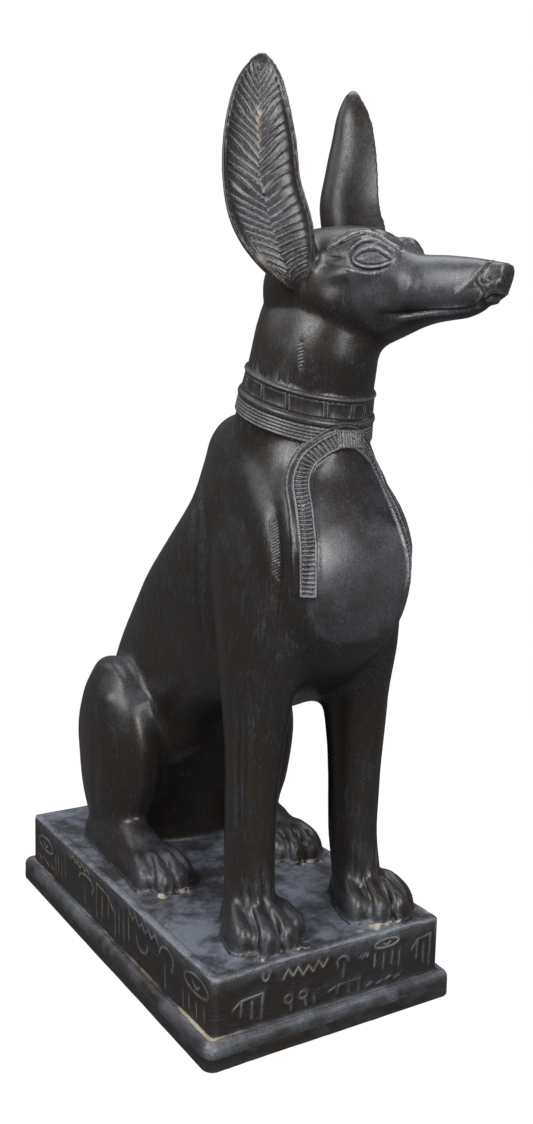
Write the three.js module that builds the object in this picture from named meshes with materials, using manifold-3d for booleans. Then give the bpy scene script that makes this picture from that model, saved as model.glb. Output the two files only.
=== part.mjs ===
// Seated jackal on its plinth, cast in one piece.
// Millimetres, +Z up. The jackal faces -Y and its right side is at -X.
// The origin is the centre of the plinth's underside.

import * as THREE from 'three';
import { mergeVertices } from 'three/addons/utils/BufferGeometryUtils.js';
import Module from 'manifold-3d';

// Driving dimensions of the plinth: a slab with a rounded shoulder, and the block on it

const SLAB_HEIGHT = 18;
const SLAB_LEDGE = 7;
const SLAB_SHOULDER = 6;
const SLAB_FOOT = 1.5;
const BLOCK_HEIGHT = 37;
const BLOCK_CORNER = 4;
const BLOCK_EDGE = 1.5;
const DISH_DEPTH = 1;
const DISH_BORDER = 6;

// Room on the block round the figure: before the toes, behind the rump and past the outer hind toes

const MARGIN_FRONT = 8;
const MARGIN_BACK = 4;
const MARGIN_RIGHT = 19.5;
const MARGIN_LEFT = 1.5;

// Driving dimension of the figure, from the top of the block to the ear tips

const FIGURE_HEIGHT = 545;

// The figure is a free form, so every place and girth below is a share of its own height, written
// for a height of 545. Its frame has x = 0 on the mid plane and z = 0 on the top of the block.

const WRITTEN_HEIGHT = 545;
const SHARE = FIGURE_HEIGHT / WRITTEN_HEIGHT;
const TOE_REACH = 147;
const RUMP_REACH = 151;
const STANCE_HALF = 77;
const ROOTED = 8;

// Levels of the trunk: height, front, back, place of the widest point, half width, and how round the
// breast and the rear are: 1 is an ellipse and less is squarer

const TRUNK = [
  { z: -ROOTED, front: 48, back: 132, widest: 92, half: 46, breast: 0.9, rear: 0.9 },
  { z: 20, front: 40, back: 144, widest: 92, half: 52, breast: 0.9, rear: 0.9 },
  { z: 50, front: 24, back: 150, widest: 88, half: 55, breast: 0.9, rear: 0.9 },
  { z: 85, front: 0, back: RUMP_REACH, widest: 80, half: 55, breast: 0.9, rear: 0.9 },
  { z: 118, front: -36, back: 145, widest: 68, half: 53, breast: 0.85, rear: 0.85 },
  { z: 150, front: -104, back: 129, widest: 44, half: 51, breast: 0.75, rear: 0.75 },
  { z: 180, front: -144, back: 108, widest: 14, half: 50, breast: 0.62, rear: 0.72 },
  { z: 212, front: -161, back: 79, widest: -24, half: 51.5, breast: 0.45, rear: 0.68 },
  { z: 245, front: -162, back: 44, widest: -54, half: 51, breast: 0.42, rear: 0.72 },
  { z: 275, front: -151, back: 19, widest: -70, half: 49.5, breast: 0.48, rear: 0.9 },
  { z: 299, front: -141, back: 13, widest: -78, half: 45.5, breast: 0.76, rear: 1 },
  { z: 318, front: -138, back: 6, widest: -82, half: 42, breast: 0.95, rear: 1 },
  { z: 331, front: -134, back: -12, widest: -84, half: 37, breast: 1, rear: 1 },
  { z: 338, front: -118, back: -38, widest: -84, half: 26, breast: 1, rear: 1 },
];

// Neck, on rings that lean forward: centre, half width, reach to the throat and to the nape

const NECK_SIDES = 20;
const NECK_LEAN = THREE.MathUtils.degToRad(17);
const NECK = [
  { y: -84, z: 306, half: 43, fore: 52, aft: 52 },
  { y: -89, z: 332, half: 42, fore: 49, aft: 48 },
  { y: -96, z: 358, half: 39.5, fore: 45, aft: 45 },
  { y: -102, z: 384, half: 35, fore: 48, aft: 47 },
  { y: -106, z: 404, half: 28, fore: 42, aft: 45 },
  { y: -107, z: 420, half: 17, fore: 26, aft: 31 },
];

// Head, turned to its left on the neck: place along the head, top, underside, widest height, half width

const HEAD_PIVOT = -97;
const HEAD_TURN = THREE.MathUtils.degToRad(19.5);
const HEAD_SQUARENESS = 0.9;
const SKULL = [
  { f: -30, top: 424, low: 398, widest: 412, half: 12 },
  { f: -21, top: 436, low: 388, widest: 413, half: 24 },
  { f: 0, top: 449, low: 380, widest: 413, half: 33 },
  { f: 26, top: 450.5, low: 377, widest: 413, half: 35 },
  { f: 48, top: 447.5, low: 380, widest: 415, half: 33.5 },
  { f: 64, top: 440, low: 387, widest: 414, half: 29 },
  { f: 80, top: 431, low: 392, widest: 411, half: 22 },
  { f: 98, top: 428.5, low: 395, widest: 408, half: 16.5 },
  { f: 115, top: 426, low: 397, widest: 408, half: 13.5 },
  { f: 127, top: 423.5, low: 399.8, widest: 410, half: 11 },
  { f: 132.5, top: 421.5, low: 404.5, widest: 413, half: 8 },
];
const JAW = [
  { f: 20, top: 410, low: 377, widest: 394, half: 22 },
  { f: 42, top: 409, low: 375, widest: 394, half: 20.5 },
  { f: 60, top: 408, low: 381, widest: 394, half: 17.5 },
  { f: 80, top: 406, low: 388.5, widest: 396, half: 14.5 },
  { f: 98, top: 405, low: 392, widest: 398, half: 12 },
  { f: 110, top: 405, low: 393.2, widest: 399, half: 10.5 },
  { f: 121, top: 405, low: 396.8, widest: 400.5, half: 8 },
];

// Eye, the lids as a flatter swelling round it, and the brow line, on the side of the skull

const EYE = { f: 62.5, z: 427.5, long: 13, high: 4.8, thick: 5.6, sunk: 2.4 };
const LID = { long: 16.5, high: 7.4, thick: 4.3 };
const BROW = { line: 1.6, path: [[81, 430], [66, 441], [50, 438.5], [29, 434]] };

// Ear: centre of each level, half width from rim to rim, depth of its back and of its hollow

const EAR_FACING = THREE.MathUtils.degToRad(47);
const EAR_RIM = 2.6;
const EAR = [
  { side: 35, f: 14, z: 409, half: 4, deep: 9, hollow: 0.4 },
  { side: 45, f: 14.5, z: 420, half: 15, deep: 22, hollow: 2 },
  { side: 53, f: 13.5, z: 434, half: 22, deep: 31, hollow: 6 },
  { side: 57.5, f: 10, z: 450, half: 24.5, deep: 37, hollow: 9 },
  { side: 58.2, f: 3.5, z: 472, half: 23.1, deep: 35.4, hollow: 10 },
  { side: 58.3, f: 1.6, z: 494, half: 21.6, deep: 30.7, hollow: 9 },
  { side: 57.5, f: 0, z: 514, half: 17.9, deep: 25.3, hollow: 7 },
  { side: 54.4, f: -2.4, z: 530, half: 13.1, deep: 18.6, hollow: 4 },
  { side: 50.2, f: -5, z: 541, half: 8, deep: 11, hollow: 1 },
  { side: 48.5, f: -6.5, z: WRITTEN_HEIGHT, half: 3.5, deep: 5, hollow: 0.2 },
];

// Foreleg from the foot into the shoulder, and the haunch with its shin, each at x to one side

const FORELEG = [
  { x: 45, y: -108, z: -ROOTED, half: 18, fore: 20, aft: 17 },
  { x: 43, y: -105, z: 24, half: 16.5, fore: 19, aft: 17 },
  { x: 41.5, y: -102, z: 52, half: 16, fore: 19.5, aft: 18 },
  { x: 41, y: -102, z: 92, half: 17, fore: 20, aft: 19 },
  { x: 40, y: -102, z: 122, half: 18.5, fore: 23, aft: 21 },
  { x: 38.5, y: -100, z: 155, half: 20.5, fore: 32, aft: 27 },
  { x: 37, y: -97, z: 194, half: 21.5, fore: 46, aft: 38 },
  { x: 36, y: -91, z: 232, half: 21, fore: 52, aft: 46 },
  { x: 33, y: -84, z: 264, half: 19, fore: 50, aft: 46 },
  { x: 27, y: -80, z: 288, half: 16, fore: 42, aft: 38 },
  { x: 22, y: -78, z: 306, half: 12, fore: 30, aft: 28 },
];
const HAUNCH = [
  { x: 60, y: 72, z: 4, half: 13, fore: 40, aft: 24 },
  { x: 60, y: 71, z: 25, half: 18, fore: 42, aft: 36 },
  { x: 59, y: 67, z: 42, half: 22.5, fore: 44, aft: 48 },
  { x: 58, y: 64, z: 62, half: 25.5, fore: 46, aft: 56 },
  { x: 58, y: 62, z: 90, half: 27, fore: 46, aft: 60 },
  { x: 58, y: 63, z: 116, half: 25, fore: 40, aft: 49 },
  { x: 59, y: 68, z: 134, half: 18, fore: 30, aft: 31 },
  { x: 60, y: 74, z: 146, half: 8, fore: 15, aft: 14 },
];

// Feet, each a low body with four toes at places f forward of the figure's origin. Each pair stands
// aside of the mid plane, and drifts to the figure's left the further forward it is.

const FOOT_DRIFT = 0.03;

const FORE_FOOT = {
  x: 44.5,
  aside: -2,
  toeLine: TOE_REACH,
  spread: 27,
  toe: { half: 7.9, high: 16, length: 44, knuckle: 20 },
  body: [
    { f: 82, top: 14, half: 11 },
    { f: 92, top: 22, half: 15 },
    { f: 112, top: 24, half: 16.5 },
    { f: 128, top: 16, half: 19 },
    { f: 138, top: 6, half: 17 },
  ],
};
const HIND_FOOT = {
  x: 56,
  aside: -6,
  toeLine: 36,
  spread: 22,
  toe: { half: 7.2, high: 15, length: 42, knuckle: 19 },
  body: [
    { f: -98, top: 12, half: 8 },
    { f: -88, top: 26, half: 13 },
    { f: -55, top: 34, half: 17 },
    { f: -22, top: 31, half: 18.5 },
    { f: 2, top: 20, half: 19.5 },
    { f: 22, top: 9, half: 18 },
  ],
};
const TOES = [
  { across: -0.72, setBack: 10 },
  { across: -0.27, setBack: 1.5 },
  { across: 0.27, setBack: 0 },
  { across: 0.72, setBack: 11 },
];

// Tail, out of the rump, down to the block and round to the left heel

const TAIL = [
  { x: 0, y: 128, z: 60, half: 14 },
  { x: 5, y: 138, z: 32, half: 12 },
  { x: 20, y: 138, z: 10, half: 10 },
  { x: 42, y: 130, z: 7, half: 9.5 },
  { x: 60, y: 114, z: 7, half: 7.5 },
  { x: 68, y: 99, z: 6, half: 4 },
];

// Collar: heights on the neck's axis from the top rim down, and how far each band stands proud

const COLLAR_RIM = 2.2;
const COLLAR_PANEL = 0.9;
const COLLAR_TOP = 357.5;
const COLLAR_RIM_WIDTH = 2.6;
const COLLAR_PANEL_WIDTH = 8.6;
const COLLAR_RIDGES = 4;
const COLLAR_RIDGE_PITCH = 3.7;

// Ribbed band that hangs from the collar as a hoop, open below, on the breast

const HOOP = {
  apex: 321,
  foot: 229,
  spread: 38.5,
  squareness: 0.82,
  width: 11,
  edge: 2,
  ribs: 24,
  band: 0.8,
  rib: 2.2,
  rim: 2.7,
  buried: 6,
};

const wasm = await Module();
wasm.setup();

/** Parts of the way from 0 to 1. */
const parts = (steps) => Array.from({ length: steps + 1 }, (_, i) => i / steps);

/** A power that keeps the sign: it makes a superellipse of a circle. */
const bend = (value, power) => Math.sign(value) * Math.abs(value) ** power;

/** Smooth curves through the fields of a list of stations, each read at t from 0 to 1. */
function smooth(stations) {
  const names = Object.keys(stations[0]);
  return Object.fromEntries(names.map((name) => {
    const points = stations.map((station) => new THREE.Vector3(station[name], 0, 0));
    const curve = new THREE.CatmullRomCurve3(points, false, 'catmullrom');
    return [name, (t) => curve.getPoint(t).x];
  }));
}

/** Finds the t at which a rising curve reaches a value, by halving. */
function reach(curve, value) {
  let [low, high] = [0, 1];
  for (let i = 0; i < 30; i += 1) {
    const middle = (low + high) / 2;
    [low, high] = curve(middle) < value ? [middle, high] : [low, middle];
  }
  return low;
}

/** Six times the signed volume of a triangle mesh, which is negative when it is inside out. */
function signedVolume(positions, indices) {
  const [a, b, c] = [new THREE.Vector3(), new THREE.Vector3(), new THREE.Vector3()];
  let sum = 0;
  for (let i = 0; i < indices.length; i += 3) {
    a.fromArray(positions, 3 * indices[i]);
    b.fromArray(positions, 3 * indices[i + 1]);
    c.fromArray(positions, 3 * indices[i + 2]);
    sum += a.dot(b.cross(c));
  }
  return sum;
}

/** Joins rings of equal length into one closed skin with a fan over each end and its faces out. */
function skin(rings) {
  const sides = rings[0].length;
  const positions = rings.flat().flatMap((point) => point.toArray());
  const indices = [];
  const link = (a, b, c) => indices.push(a, b, c);
  for (let start = 0; start + sides < rings.length * sides; start += sides) {
    for (let side = 0; side < sides; side += 1) {
      const next = start + ((side + 1) % sides);
      link(start + side, next, next + sides);
      link(start + side, next + sides, start + side + sides);
    }
  }
  for (const end of [0, rings.length - 1]) {
    const hub = positions.length / 3;
    const middle = rings[end].reduce((sum, point) => sum.add(point), new THREE.Vector3());
    positions.push(...middle.divideScalar(sides).toArray());
    for (let side = 0; side < sides; side += 1) {
      const edge = [end * sides + side, end * sides + ((side + 1) % sides)];
      link(...(end === 0 ? edge.reverse() : edge), hub);
    }
  }
  if (signedVolume(positions, indices) < 0) {
    indices.reverse();
  }
  const geometry = new THREE.BufferGeometry();
  geometry.setAttribute('position', new THREE.Float32BufferAttribute(positions, 3));
  geometry.setIndex(indices);
  return geometry;
}

const ACROSS = new THREE.Vector3(1, 0, 0);
const AHEAD = new THREE.Vector3(0, -1, 0);
const UP = new THREE.Vector3(0, 0, 1);

/** An egg-shaped ring: a half width across, and a reach and roundness of its own to each side of it. */
function egg(centre, across, ahead, { half, fore, aft }, sides, squareness = 1, rear = squareness) {
  return Array.from({ length: sides }, (_, side) => {
    const angle = (2 * Math.PI * side) / sides;
    const [out, power] = Math.sin(angle) > 0 ? [fore, squareness] : [aft, rear];
    return centre.clone()
      .addScaledVector(across, half * bend(Math.cos(angle), power))
      .addScaledVector(ahead, out * bend(Math.sin(angle), power));
  });
}

/** The form mirrored to the other side of the mid plane. */
function otherSide(rings) {
  return rings.map((ring) => ring.map((point) => new THREE.Vector3(-point.x, point.y, point.z)));
}

const trunk = smooth(TRUNK);

function trunkRings() {
  return parts(20).map((t) => egg(
    new THREE.Vector3(0, trunk.widest(t), trunk.z(t)),
    ACROSS,
    AHEAD,
    { half: trunk.half(t), fore: trunk.widest(t) - trunk.front(t), aft: trunk.back(t) - trunk.widest(t) },
    22,
    trunk.breast(t),
    trunk.rear(t),
  ));
}

/** The point of the breast at a place across and a height. */
function onBreast(x, z) {
  const t = reach(trunk.z, z);
  const cosine = Math.min(Math.abs(x) / trunk.half(t), 1) ** (1 / trunk.breast(t));
  const depth = (trunk.widest(t) - trunk.front(t)) * Math.sqrt(1 - cosine ** 2) ** trunk.breast(t);
  return new THREE.Vector3(x, trunk.widest(t) - depth, z);
}

const neck = smooth(NECK);
const neckAhead = new THREE.Vector3(0, -Math.cos(NECK_LEAN), -Math.sin(NECK_LEAN));

/** One leaning ring of the neck, standing proud of it by a given amount. */
function neckRing(z, proud, sides) {
  const t = reach(neck.z, z);
  const girth = { half: neck.half(t) + proud, fore: neck.fore(t) + proud, aft: neck.aft(t) + proud };
  return egg(new THREE.Vector3(0, neck.y(t), z), ACROSS, neckAhead, girth, sides);
}

function neckRings() {
  const [low, high] = [NECK[0].z, NECK.at(-1).z];
  return parts(6).map((t) => neckRing(low + t * (high - low), 0, NECK_SIDES));
}

/** Collar as one band: a rim, a panel, a rim and a row of ridges, each a step in how far it is proud. */
function collarRings() {
  const steps = [[COLLAR_TOP, -3], [COLLAR_TOP, COLLAR_RIM]];
  let z = COLLAR_TOP - COLLAR_RIM_WIDTH;
  steps.push([z, COLLAR_RIM], [z - 0.3, COLLAR_PANEL]);
  z -= COLLAR_PANEL_WIDTH;
  steps.push([z, COLLAR_PANEL], [z - 0.3, COLLAR_RIM]);
  z -= COLLAR_RIM_WIDTH;
  for (let ridge = 0; ridge < COLLAR_RIDGES; ridge += 1) {
    steps.push([z, COLLAR_PANEL], [z - COLLAR_RIDGE_PITCH / 2, COLLAR_RIM]);
    z -= COLLAR_RIDGE_PITCH;
  }
  steps.push([z, COLLAR_PANEL], [z - 1, -3]);
  return steps.map(([height, proud]) => neckRing(height, proud, NECK_SIDES));
}

/** A point of the head's own frame: to its left, forward from the neck's axis, and up. */
function headPlace(left, forward, up) {
  const [cos, sin] = [Math.cos(HEAD_TURN), Math.sin(HEAD_TURN)];
  return new THREE.Vector3(left * cos + forward * sin, HEAD_PIVOT + left * sin - forward * cos, up);
}

const headAcross = headPlace(1, 0, 0).sub(headPlace(0, 0, 0));

/** Upright rings along the head, each between its top and its underside. */
function headRings(stations, sides, steps) {
  const at = smooth(stations);
  return parts(steps).map((t) => egg(
    headPlace(0, at.f(t), at.widest(t)),
    headAcross,
    UP,
    { half: at.half(t), fore: at.top(t) - at.widest(t), aft: at.widest(t) - at.low(t) },
    sides,
    HEAD_SQUARENESS,
  ));
}

const skull = smooth(SKULL);

/** Half width of the skull at a place along it and a height above its widest line. */
function skullHalf(f, z) {
  const t = reach(skull.f, f);
  const sine = Math.min(Math.max(z - skull.widest(t), 0) / (skull.top(t) - skull.widest(t)), 0.98);
  return skull.half(t) * Math.sqrt(1 - sine ** (2 / HEAD_SQUARENESS)) ** HEAD_SQUARENESS;
}

/** A flattened ball at the eye, half sunk in the slanting side of the skull. */
function eyeBall(side, { long, high, thick }) {
  const slant = Math.atan2(skullHalf(EYE.f - long, EYE.z) - skullHalf(EYE.f + long, EYE.z), 2 * long);
  const centre = headPlace(side * (skullHalf(EYE.f, EYE.z) - EYE.sunk), EYE.f, EYE.z);
  const place = new THREE.Matrix4().makeTranslation(centre);
  place.multiply(new THREE.Matrix4().makeRotationZ(HEAD_TURN - side * slant));
  place.multiply(new THREE.Matrix4().makeScale(thick, long, high));
  return new THREE.SphereGeometry(1, 10, 5).applyMatrix4(place);
}

/** The brow as a round line that follows its path over one side of the skull. */
function brow(side) {
  const points = BROW.path.map(([f, z]) => headPlace(side * skullHalf(f, z), f, z));
  return new THREE.ExtrudeGeometry(new THREE.Shape().absarc(0, 0, BROW.line, 0, 2 * Math.PI), {
    steps: 7,
    curveSegments: 3,
    extrudePath: new THREE.CatmullRomCurve3(points),
  });
}

const eyeForms = (side) => [eyeBall(side, LID), eyeBall(side, EYE), brow(side)];

/** An ear as a stack of crescents: round behind, and hollow on the side that it faces. */
function earRings(side) {
  const at = smooth(EAR);
  const [sin, cos] = [Math.sin(EAR_FACING), Math.cos(EAR_FACING)];
  return parts(12).map((t) => {
    const place = (along, back) => headPlace(
      side * (at.side(t) - along * cos - back * sin),
      at.f(t) + along * sin - back * cos,
      at.z(t),
    );
    const outside = parts(8).map((part) => {
      const angle = Math.PI * part;
      return place(-at.half(t) * Math.cos(angle), at.deep(t) * Math.sin(angle) ** 0.9);
    });
    const inside = parts(4).map((part) => {
      const angle = Math.PI * (1 - part);
      const rim = Math.min(EAR_RIM, at.half(t) / 3);
      return place((rim - at.half(t)) * Math.cos(angle), at.hollow(t) * (0.12 + 0.88 * Math.sin(angle)));
    });
    return [...outside, ...inside];
  });
}

/** Level rings stacked upwards, for a leg or a haunch. */
function legRings(stations, sides, steps) {
  const at = smooth(stations);
  return parts(steps).map((t) => egg(
    new THREE.Vector3(at.x(t), at.y(t), at.z(t)),
    ACROSS,
    AHEAD,
    { half: at.half(t), fore: at.fore(t), aft: at.aft(t) },
    sides,
  ));
}

/** The low body of a foot, as upright rings from its back towards the toes. */
function footRings(side, { x, aside, body }) {
  const at = smooth(body);
  return parts(5).map((t) => egg(
    new THREE.Vector3(side * x + aside + FOOT_DRIFT * at.f(t), -at.f(t), 0),
    ACROSS,
    UP,
    { half: at.half(t), fore: at.top(t), aft: ROOTED },
    12,
    0.85,
  ));
}

/** One toe: it leaves the foot, rises over its knuckle and rounds down to its tip. */
function toeRings(side, { x, aside, toeLine, spread, toe }, { across, setBack }) {
  const tip = toeLine - setBack;
  const at = smooth([
    { f: tip - toe.length, x: x + 0.75 * spread * across, half: 0.6 * toe.half, top: toe.knuckle },
    { f: tip - 0.6 * toe.length, x: x + 0.9 * spread * across, half: 0.85 * toe.half, top: toe.knuckle + 2 },
    { f: tip - 0.3 * toe.length, x: x + spread * across, half: toe.half, top: toe.high + 2.5 },
    { f: tip - 0.08 * toe.length, x: x + spread * across, half: 0.95 * toe.half, top: 0.86 * toe.high },
    { f: tip, x: x + spread * across, half: 0.55 * toe.half, top: 0.4 * toe.high },
  ]);
  return parts(4).map((t) => egg(
    new THREE.Vector3(side * at.x(t) + aside + FOOT_DRIFT * at.f(t), -at.f(t), 0),
    ACROSS,
    UP,
    { half: at.half(t), fore: at.top(t), aft: ROOTED },
    8,
  ));
}

const footForms = (side, foot) => [footRings(side, foot), ...TOES.map((toe) => toeRings(side, foot, toe))];

/** Round rings square to the path of the tail. */
function tailRings() {
  const path = new THREE.CatmullRomCurve3(TAIL.map(({ x, y, z }) => new THREE.Vector3(x, y, z)));
  const at = smooth(TAIL);
  return parts(10).map((t) => {
    const along = path.getTangent(t);
    const across = along.clone().cross(UP).normalize();
    const girth = { half: at.half(t), fore: at.half(t), aft: at.half(t) };
    return egg(path.getPoint(t), across, across.clone().cross(along), girth, 10);
  });
}

/** A frame on the breast at t along the hoop: place, way along it, way across it and way out. */
function hoopFrame(t) {
  const at = (part) => {
    const angle = Math.PI * part;
    return onBreast(
      -HOOP.spread * bend(Math.cos(angle), HOOP.squareness),
      HOOP.foot + (HOOP.apex - HOOP.foot) * bend(Math.sin(angle), HOOP.squareness),
    );
  };
  const place = at(t);
  const along = at(Math.min(t + 0.01, 1)).sub(at(Math.max(t - 0.01, 0))).normalize();
  const side = onBreast(place.x + 1, place.z).sub(onBreast(place.x - 1, place.z));
  const rise = onBreast(place.x, place.z + 1).sub(onBreast(place.x, place.z - 1));
  const out = side.cross(rise).normalize();
  if (out.y > 0) {
    out.negate();
  }
  return { place, along, across: along.clone().cross(out).normalize(), out };
}

/** Rings across the hoop: a raised edge to each side and between them the band, which rises to each rib. */
function hoopRings() {
  const inner = HOOP.width / 2;
  const outer = inner + HOOP.edge;
  return parts(2 * HOOP.ribs).map((t, i) => {
    const { place, across, out } = hoopFrame(t);
    const middle = i % 2 ? HOOP.rib : HOOP.band;
    const corners = [
      [-outer, -HOOP.buried],
      [outer, -HOOP.buried],
      [outer, HOOP.rim],
      [inner, HOOP.rim],
      [inner, middle],
      [-inner, middle],
      [-inner, HOOP.rim],
      [-outer, HOOP.rim],
    ];
    const corner = (wide, high) => place.clone().addScaledVector(across, wide).addScaledVector(out, high);
    return corners.map(([wide, high]) => corner(wide, high));
  });
}

/** One level ring of a plate with round corners, drawn in from its outer size by an inset. */
function plateRing(width, length, corner, inset, z) {
  const [x, y] = [width / 2 - corner, length / 2 - corner];
  return [[x, y], [-x, y], [-x, -y], [x, -y]].flatMap(([left, back], quarter) => parts(2).map((part) => {
    const angle = (Math.PI / 2) * (quarter + part);
    return new THREE.Vector3(
      left + (corner - inset) * Math.cos(angle),
      back + (corner - inset) * Math.sin(angle),
      z,
    );
  }));
}

/** A plate between two heights, with its foot edge and its shoulder rounded. */
function plate(width, length, corner, from, to, foot, shoulder) {
  const turns = parts(3).map((part) => (part * Math.PI) / 2);
  const quarter = turns.map((turn) => [1 - Math.cos(turn), 1 - Math.sin(turn)]);
  const below = quarter.map(([inset, drop]) => [foot * inset, from + foot * drop]).reverse();
  const above = quarter.map(([inset, drop]) => [shoulder * inset, to - shoulder * drop]);
  return skin([...below, ...above].map(([inset, z]) => plateRing(width, length, corner, inset, z)));
}

/** Makes a solid for joining and cutting from a closed geometry. */
function solid(geometry, matrix) {
  const plain = geometry.clone();
  plain.deleteAttribute('normal');
  plain.deleteAttribute('uv');
  if (matrix) {
    plain.applyMatrix4(matrix);
  }
  const merged = mergeVertices(plain, 1e-4);
  return new wasm.Manifold(new wasm.Mesh({
    numProp: 3,
    vertProperties: new Float32Array(merged.attributes.position.array),
    triVerts: new Uint32Array(merged.index.array),
  }));
}

/** Turns a solid back into a named mesh. */
function mesh(name, body, material) {
  const { vertProperties, triVerts } = body.getMesh();
  const geometry = new THREE.BufferGeometry();
  geometry.setAttribute('position', new THREE.Float32BufferAttribute(vertProperties, 3));
  geometry.setIndex([...triVerts]);
  geometry.computeVertexNormals();
  const made = new THREE.Mesh(geometry, material);
  made.name = name;
  return made;
}

// The plinth is as large as the stance and its margins, and the figure stands on it off its middle

const blockWidth = MARGIN_RIGHT + 2 * STANCE_HALF * SHARE + MARGIN_LEFT;
const blockLength = MARGIN_FRONT + (TOE_REACH + RUMP_REACH) * SHARE + MARGIN_BACK;
const plinthHeight = SLAB_HEIGHT + BLOCK_HEIGHT;
const standing = new THREE.Matrix4().makeTranslation(
  (MARGIN_RIGHT - MARGIN_LEFT) / 2,
  (MARGIN_FRONT - MARGIN_BACK) / 2 + ((TOE_REACH - RUMP_REACH) * SHARE) / 2,
  plinthHeight,
).scale(new THREE.Vector3(SHARE, SHARE, SHARE));

const legs = [legRings(FORELEG, 12, 12), legRings(HAUNCH, 16, 9)];
const figure = [
  ...[
    trunkRings(),
    neckRings(),
    collarRings(),
    headRings(SKULL, 18, 15),
    headRings(JAW, 10, 7),
    earRings(1),
    earRings(-1),
    tailRings(),
    hoopRings(),
    ...legs,
    ...legs.map(otherSide),
    ...[-1, 1].flatMap((side) => [...footForms(side, FORE_FOOT), ...footForms(side, HIND_FOOT)]),
  ].map(skin),
  ...eyeForms(1),
  ...eyeForms(-1),
];

const slab = plate(
  blockWidth + 2 * SLAB_LEDGE,
  blockLength + 2 * SLAB_LEDGE,
  BLOCK_CORNER + SLAB_LEDGE,
  0,
  SLAB_HEIGHT,
  SLAB_FOOT,
  SLAB_SHOULDER,
);
const blockRoot = SLAB_HEIGHT / 2;
const block = plate(blockWidth, blockLength, BLOCK_CORNER, blockRoot, plinthHeight, BLOCK_EDGE, BLOCK_EDGE);
const dish = plate(
  blockWidth - 2 * DISH_BORDER,
  blockLength - 2 * DISH_BORDER,
  BLOCK_CORNER,
  plinthHeight - DISH_DEPTH,
  plinthHeight + DISH_DEPTH,
  DISH_DEPTH,
  DISH_DEPTH / 2,
);

const plinth = solid(slab).add(solid(block)).subtract(solid(dish));
const casting = figure.reduce((sum, form) => sum.add(solid(form, standing)), plinth);

const darkCast = new THREE.MeshStandardMaterial({ color: 0x2b2724, roughness: 0.5, metalness: 0 });

const group = new THREE.Group();
group.add(mesh('jackal_on_plinth', casting, darkCast));

export default group;
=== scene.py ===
"""Finished look of a seated jackal on its plinth, cast in one piece with a dark, dusted patina and painted
light and shade.

Forms are worked out in millimetres in the figure's own frame: x = 0 is its mid plane and its
right side is at -x, the muzzle points to -y, and z = 0 is the top of the block. The lofts are
joined to one skin, softened where they meet, carved, thinned and put in the part's frame.
"""

import logging
import math
from dataclasses import dataclass, field
from enum import Enum
from typing import Any, Sequence, Union

import bpy
import numpy as np
from mathutils import Matrix, Vector


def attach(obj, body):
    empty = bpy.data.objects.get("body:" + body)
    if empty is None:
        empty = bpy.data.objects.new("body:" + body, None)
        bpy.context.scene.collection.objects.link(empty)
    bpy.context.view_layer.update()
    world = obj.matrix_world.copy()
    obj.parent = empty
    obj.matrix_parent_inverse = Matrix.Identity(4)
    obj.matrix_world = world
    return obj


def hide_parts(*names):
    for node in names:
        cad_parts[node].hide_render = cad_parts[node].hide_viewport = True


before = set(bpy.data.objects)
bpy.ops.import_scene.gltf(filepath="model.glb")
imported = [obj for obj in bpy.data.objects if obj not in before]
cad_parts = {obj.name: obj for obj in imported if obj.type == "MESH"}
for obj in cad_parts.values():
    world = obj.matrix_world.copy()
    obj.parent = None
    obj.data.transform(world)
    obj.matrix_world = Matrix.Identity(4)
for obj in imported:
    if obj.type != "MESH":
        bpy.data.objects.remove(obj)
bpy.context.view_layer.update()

LOG = logging.getLogger("jackal")
STANDING = np.array([9.0, 0.0, 55.0])
MILLIMETRE = 0.001
NODE = "jackal_on_plinth"

Array = np.ndarray
Table = tuple[tuple[float, ...], ...]


def signed_power(value: Array, power: Union[float, Array]) -> Array:
    """sign(v) |v|^power, which makes a superellipse of a circle."""
    return np.sign(value) * np.abs(value) ** power


def ease(value: Array, low: float, high: float) -> Array:
    """A soft step: w^2 (3 - 2 w), with w going from 0 at low to 1 at high."""
    share = np.clip((value - low) / (high - low), 0.0, 1.0)
    return share * share * (3.0 - 2.0 * share)


def hump(distance: Array, half: float) -> Array:
    """A round ridge across a line: cos^2(pi/2 d / half), and 0 past half."""
    return np.cos(0.5 * math.pi * np.minimum(np.abs(distance) / half, 1.0)) ** 2


def through(stations: Any, t: Array) -> Array:
    """A smooth curve through a list of stations.

    On the span from p1 to p2 with the neighbours p0 and p3, and w from 0 to 1 along it,
    p = p1 + w (p2 - p0)/2 + w^2 (2 p0 - 5 p1 + 4 p2 - p3)/2 + w^3 (3 p1 - p0 - 3 p2 + p3)/2.
    Past either end the list goes on straight.

    Args:
        stations: Rows of numbers, one row a station.
        t: Places along the list, from 0 to 1.

    Returns:
        One row for each place.
    """
    line = np.asarray(stations, float)
    ends = np.vstack([2 * line[0] - line[1], line, 2 * line[-1] - line[-2]])
    place = np.clip(t, 0.0, 1.0) * (len(line) - 1)
    span = np.minimum(place.astype(int), len(line) - 2)
    w = (place - span)[:, None]
    p0, p1, p2, p3 = (ends[span + step] for step in range(4))
    return (
        p1
        + w * (p2 - p0) / 2
        + w**2 * (2 * p0 - 5 * p1 + 4 * p2 - p3) / 2
        + w**3 * (3 * p1 - p0 - 3 * p2 + p3) / 2
    )


def place_of(stations: Any, column: int, value: Array) -> Array:
    """The t at which a rising column of the stations reaches a value."""
    t = np.linspace(0.0, 1.0, 600)
    return np.interp(value, through(stations, t)[:, column], t)


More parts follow.
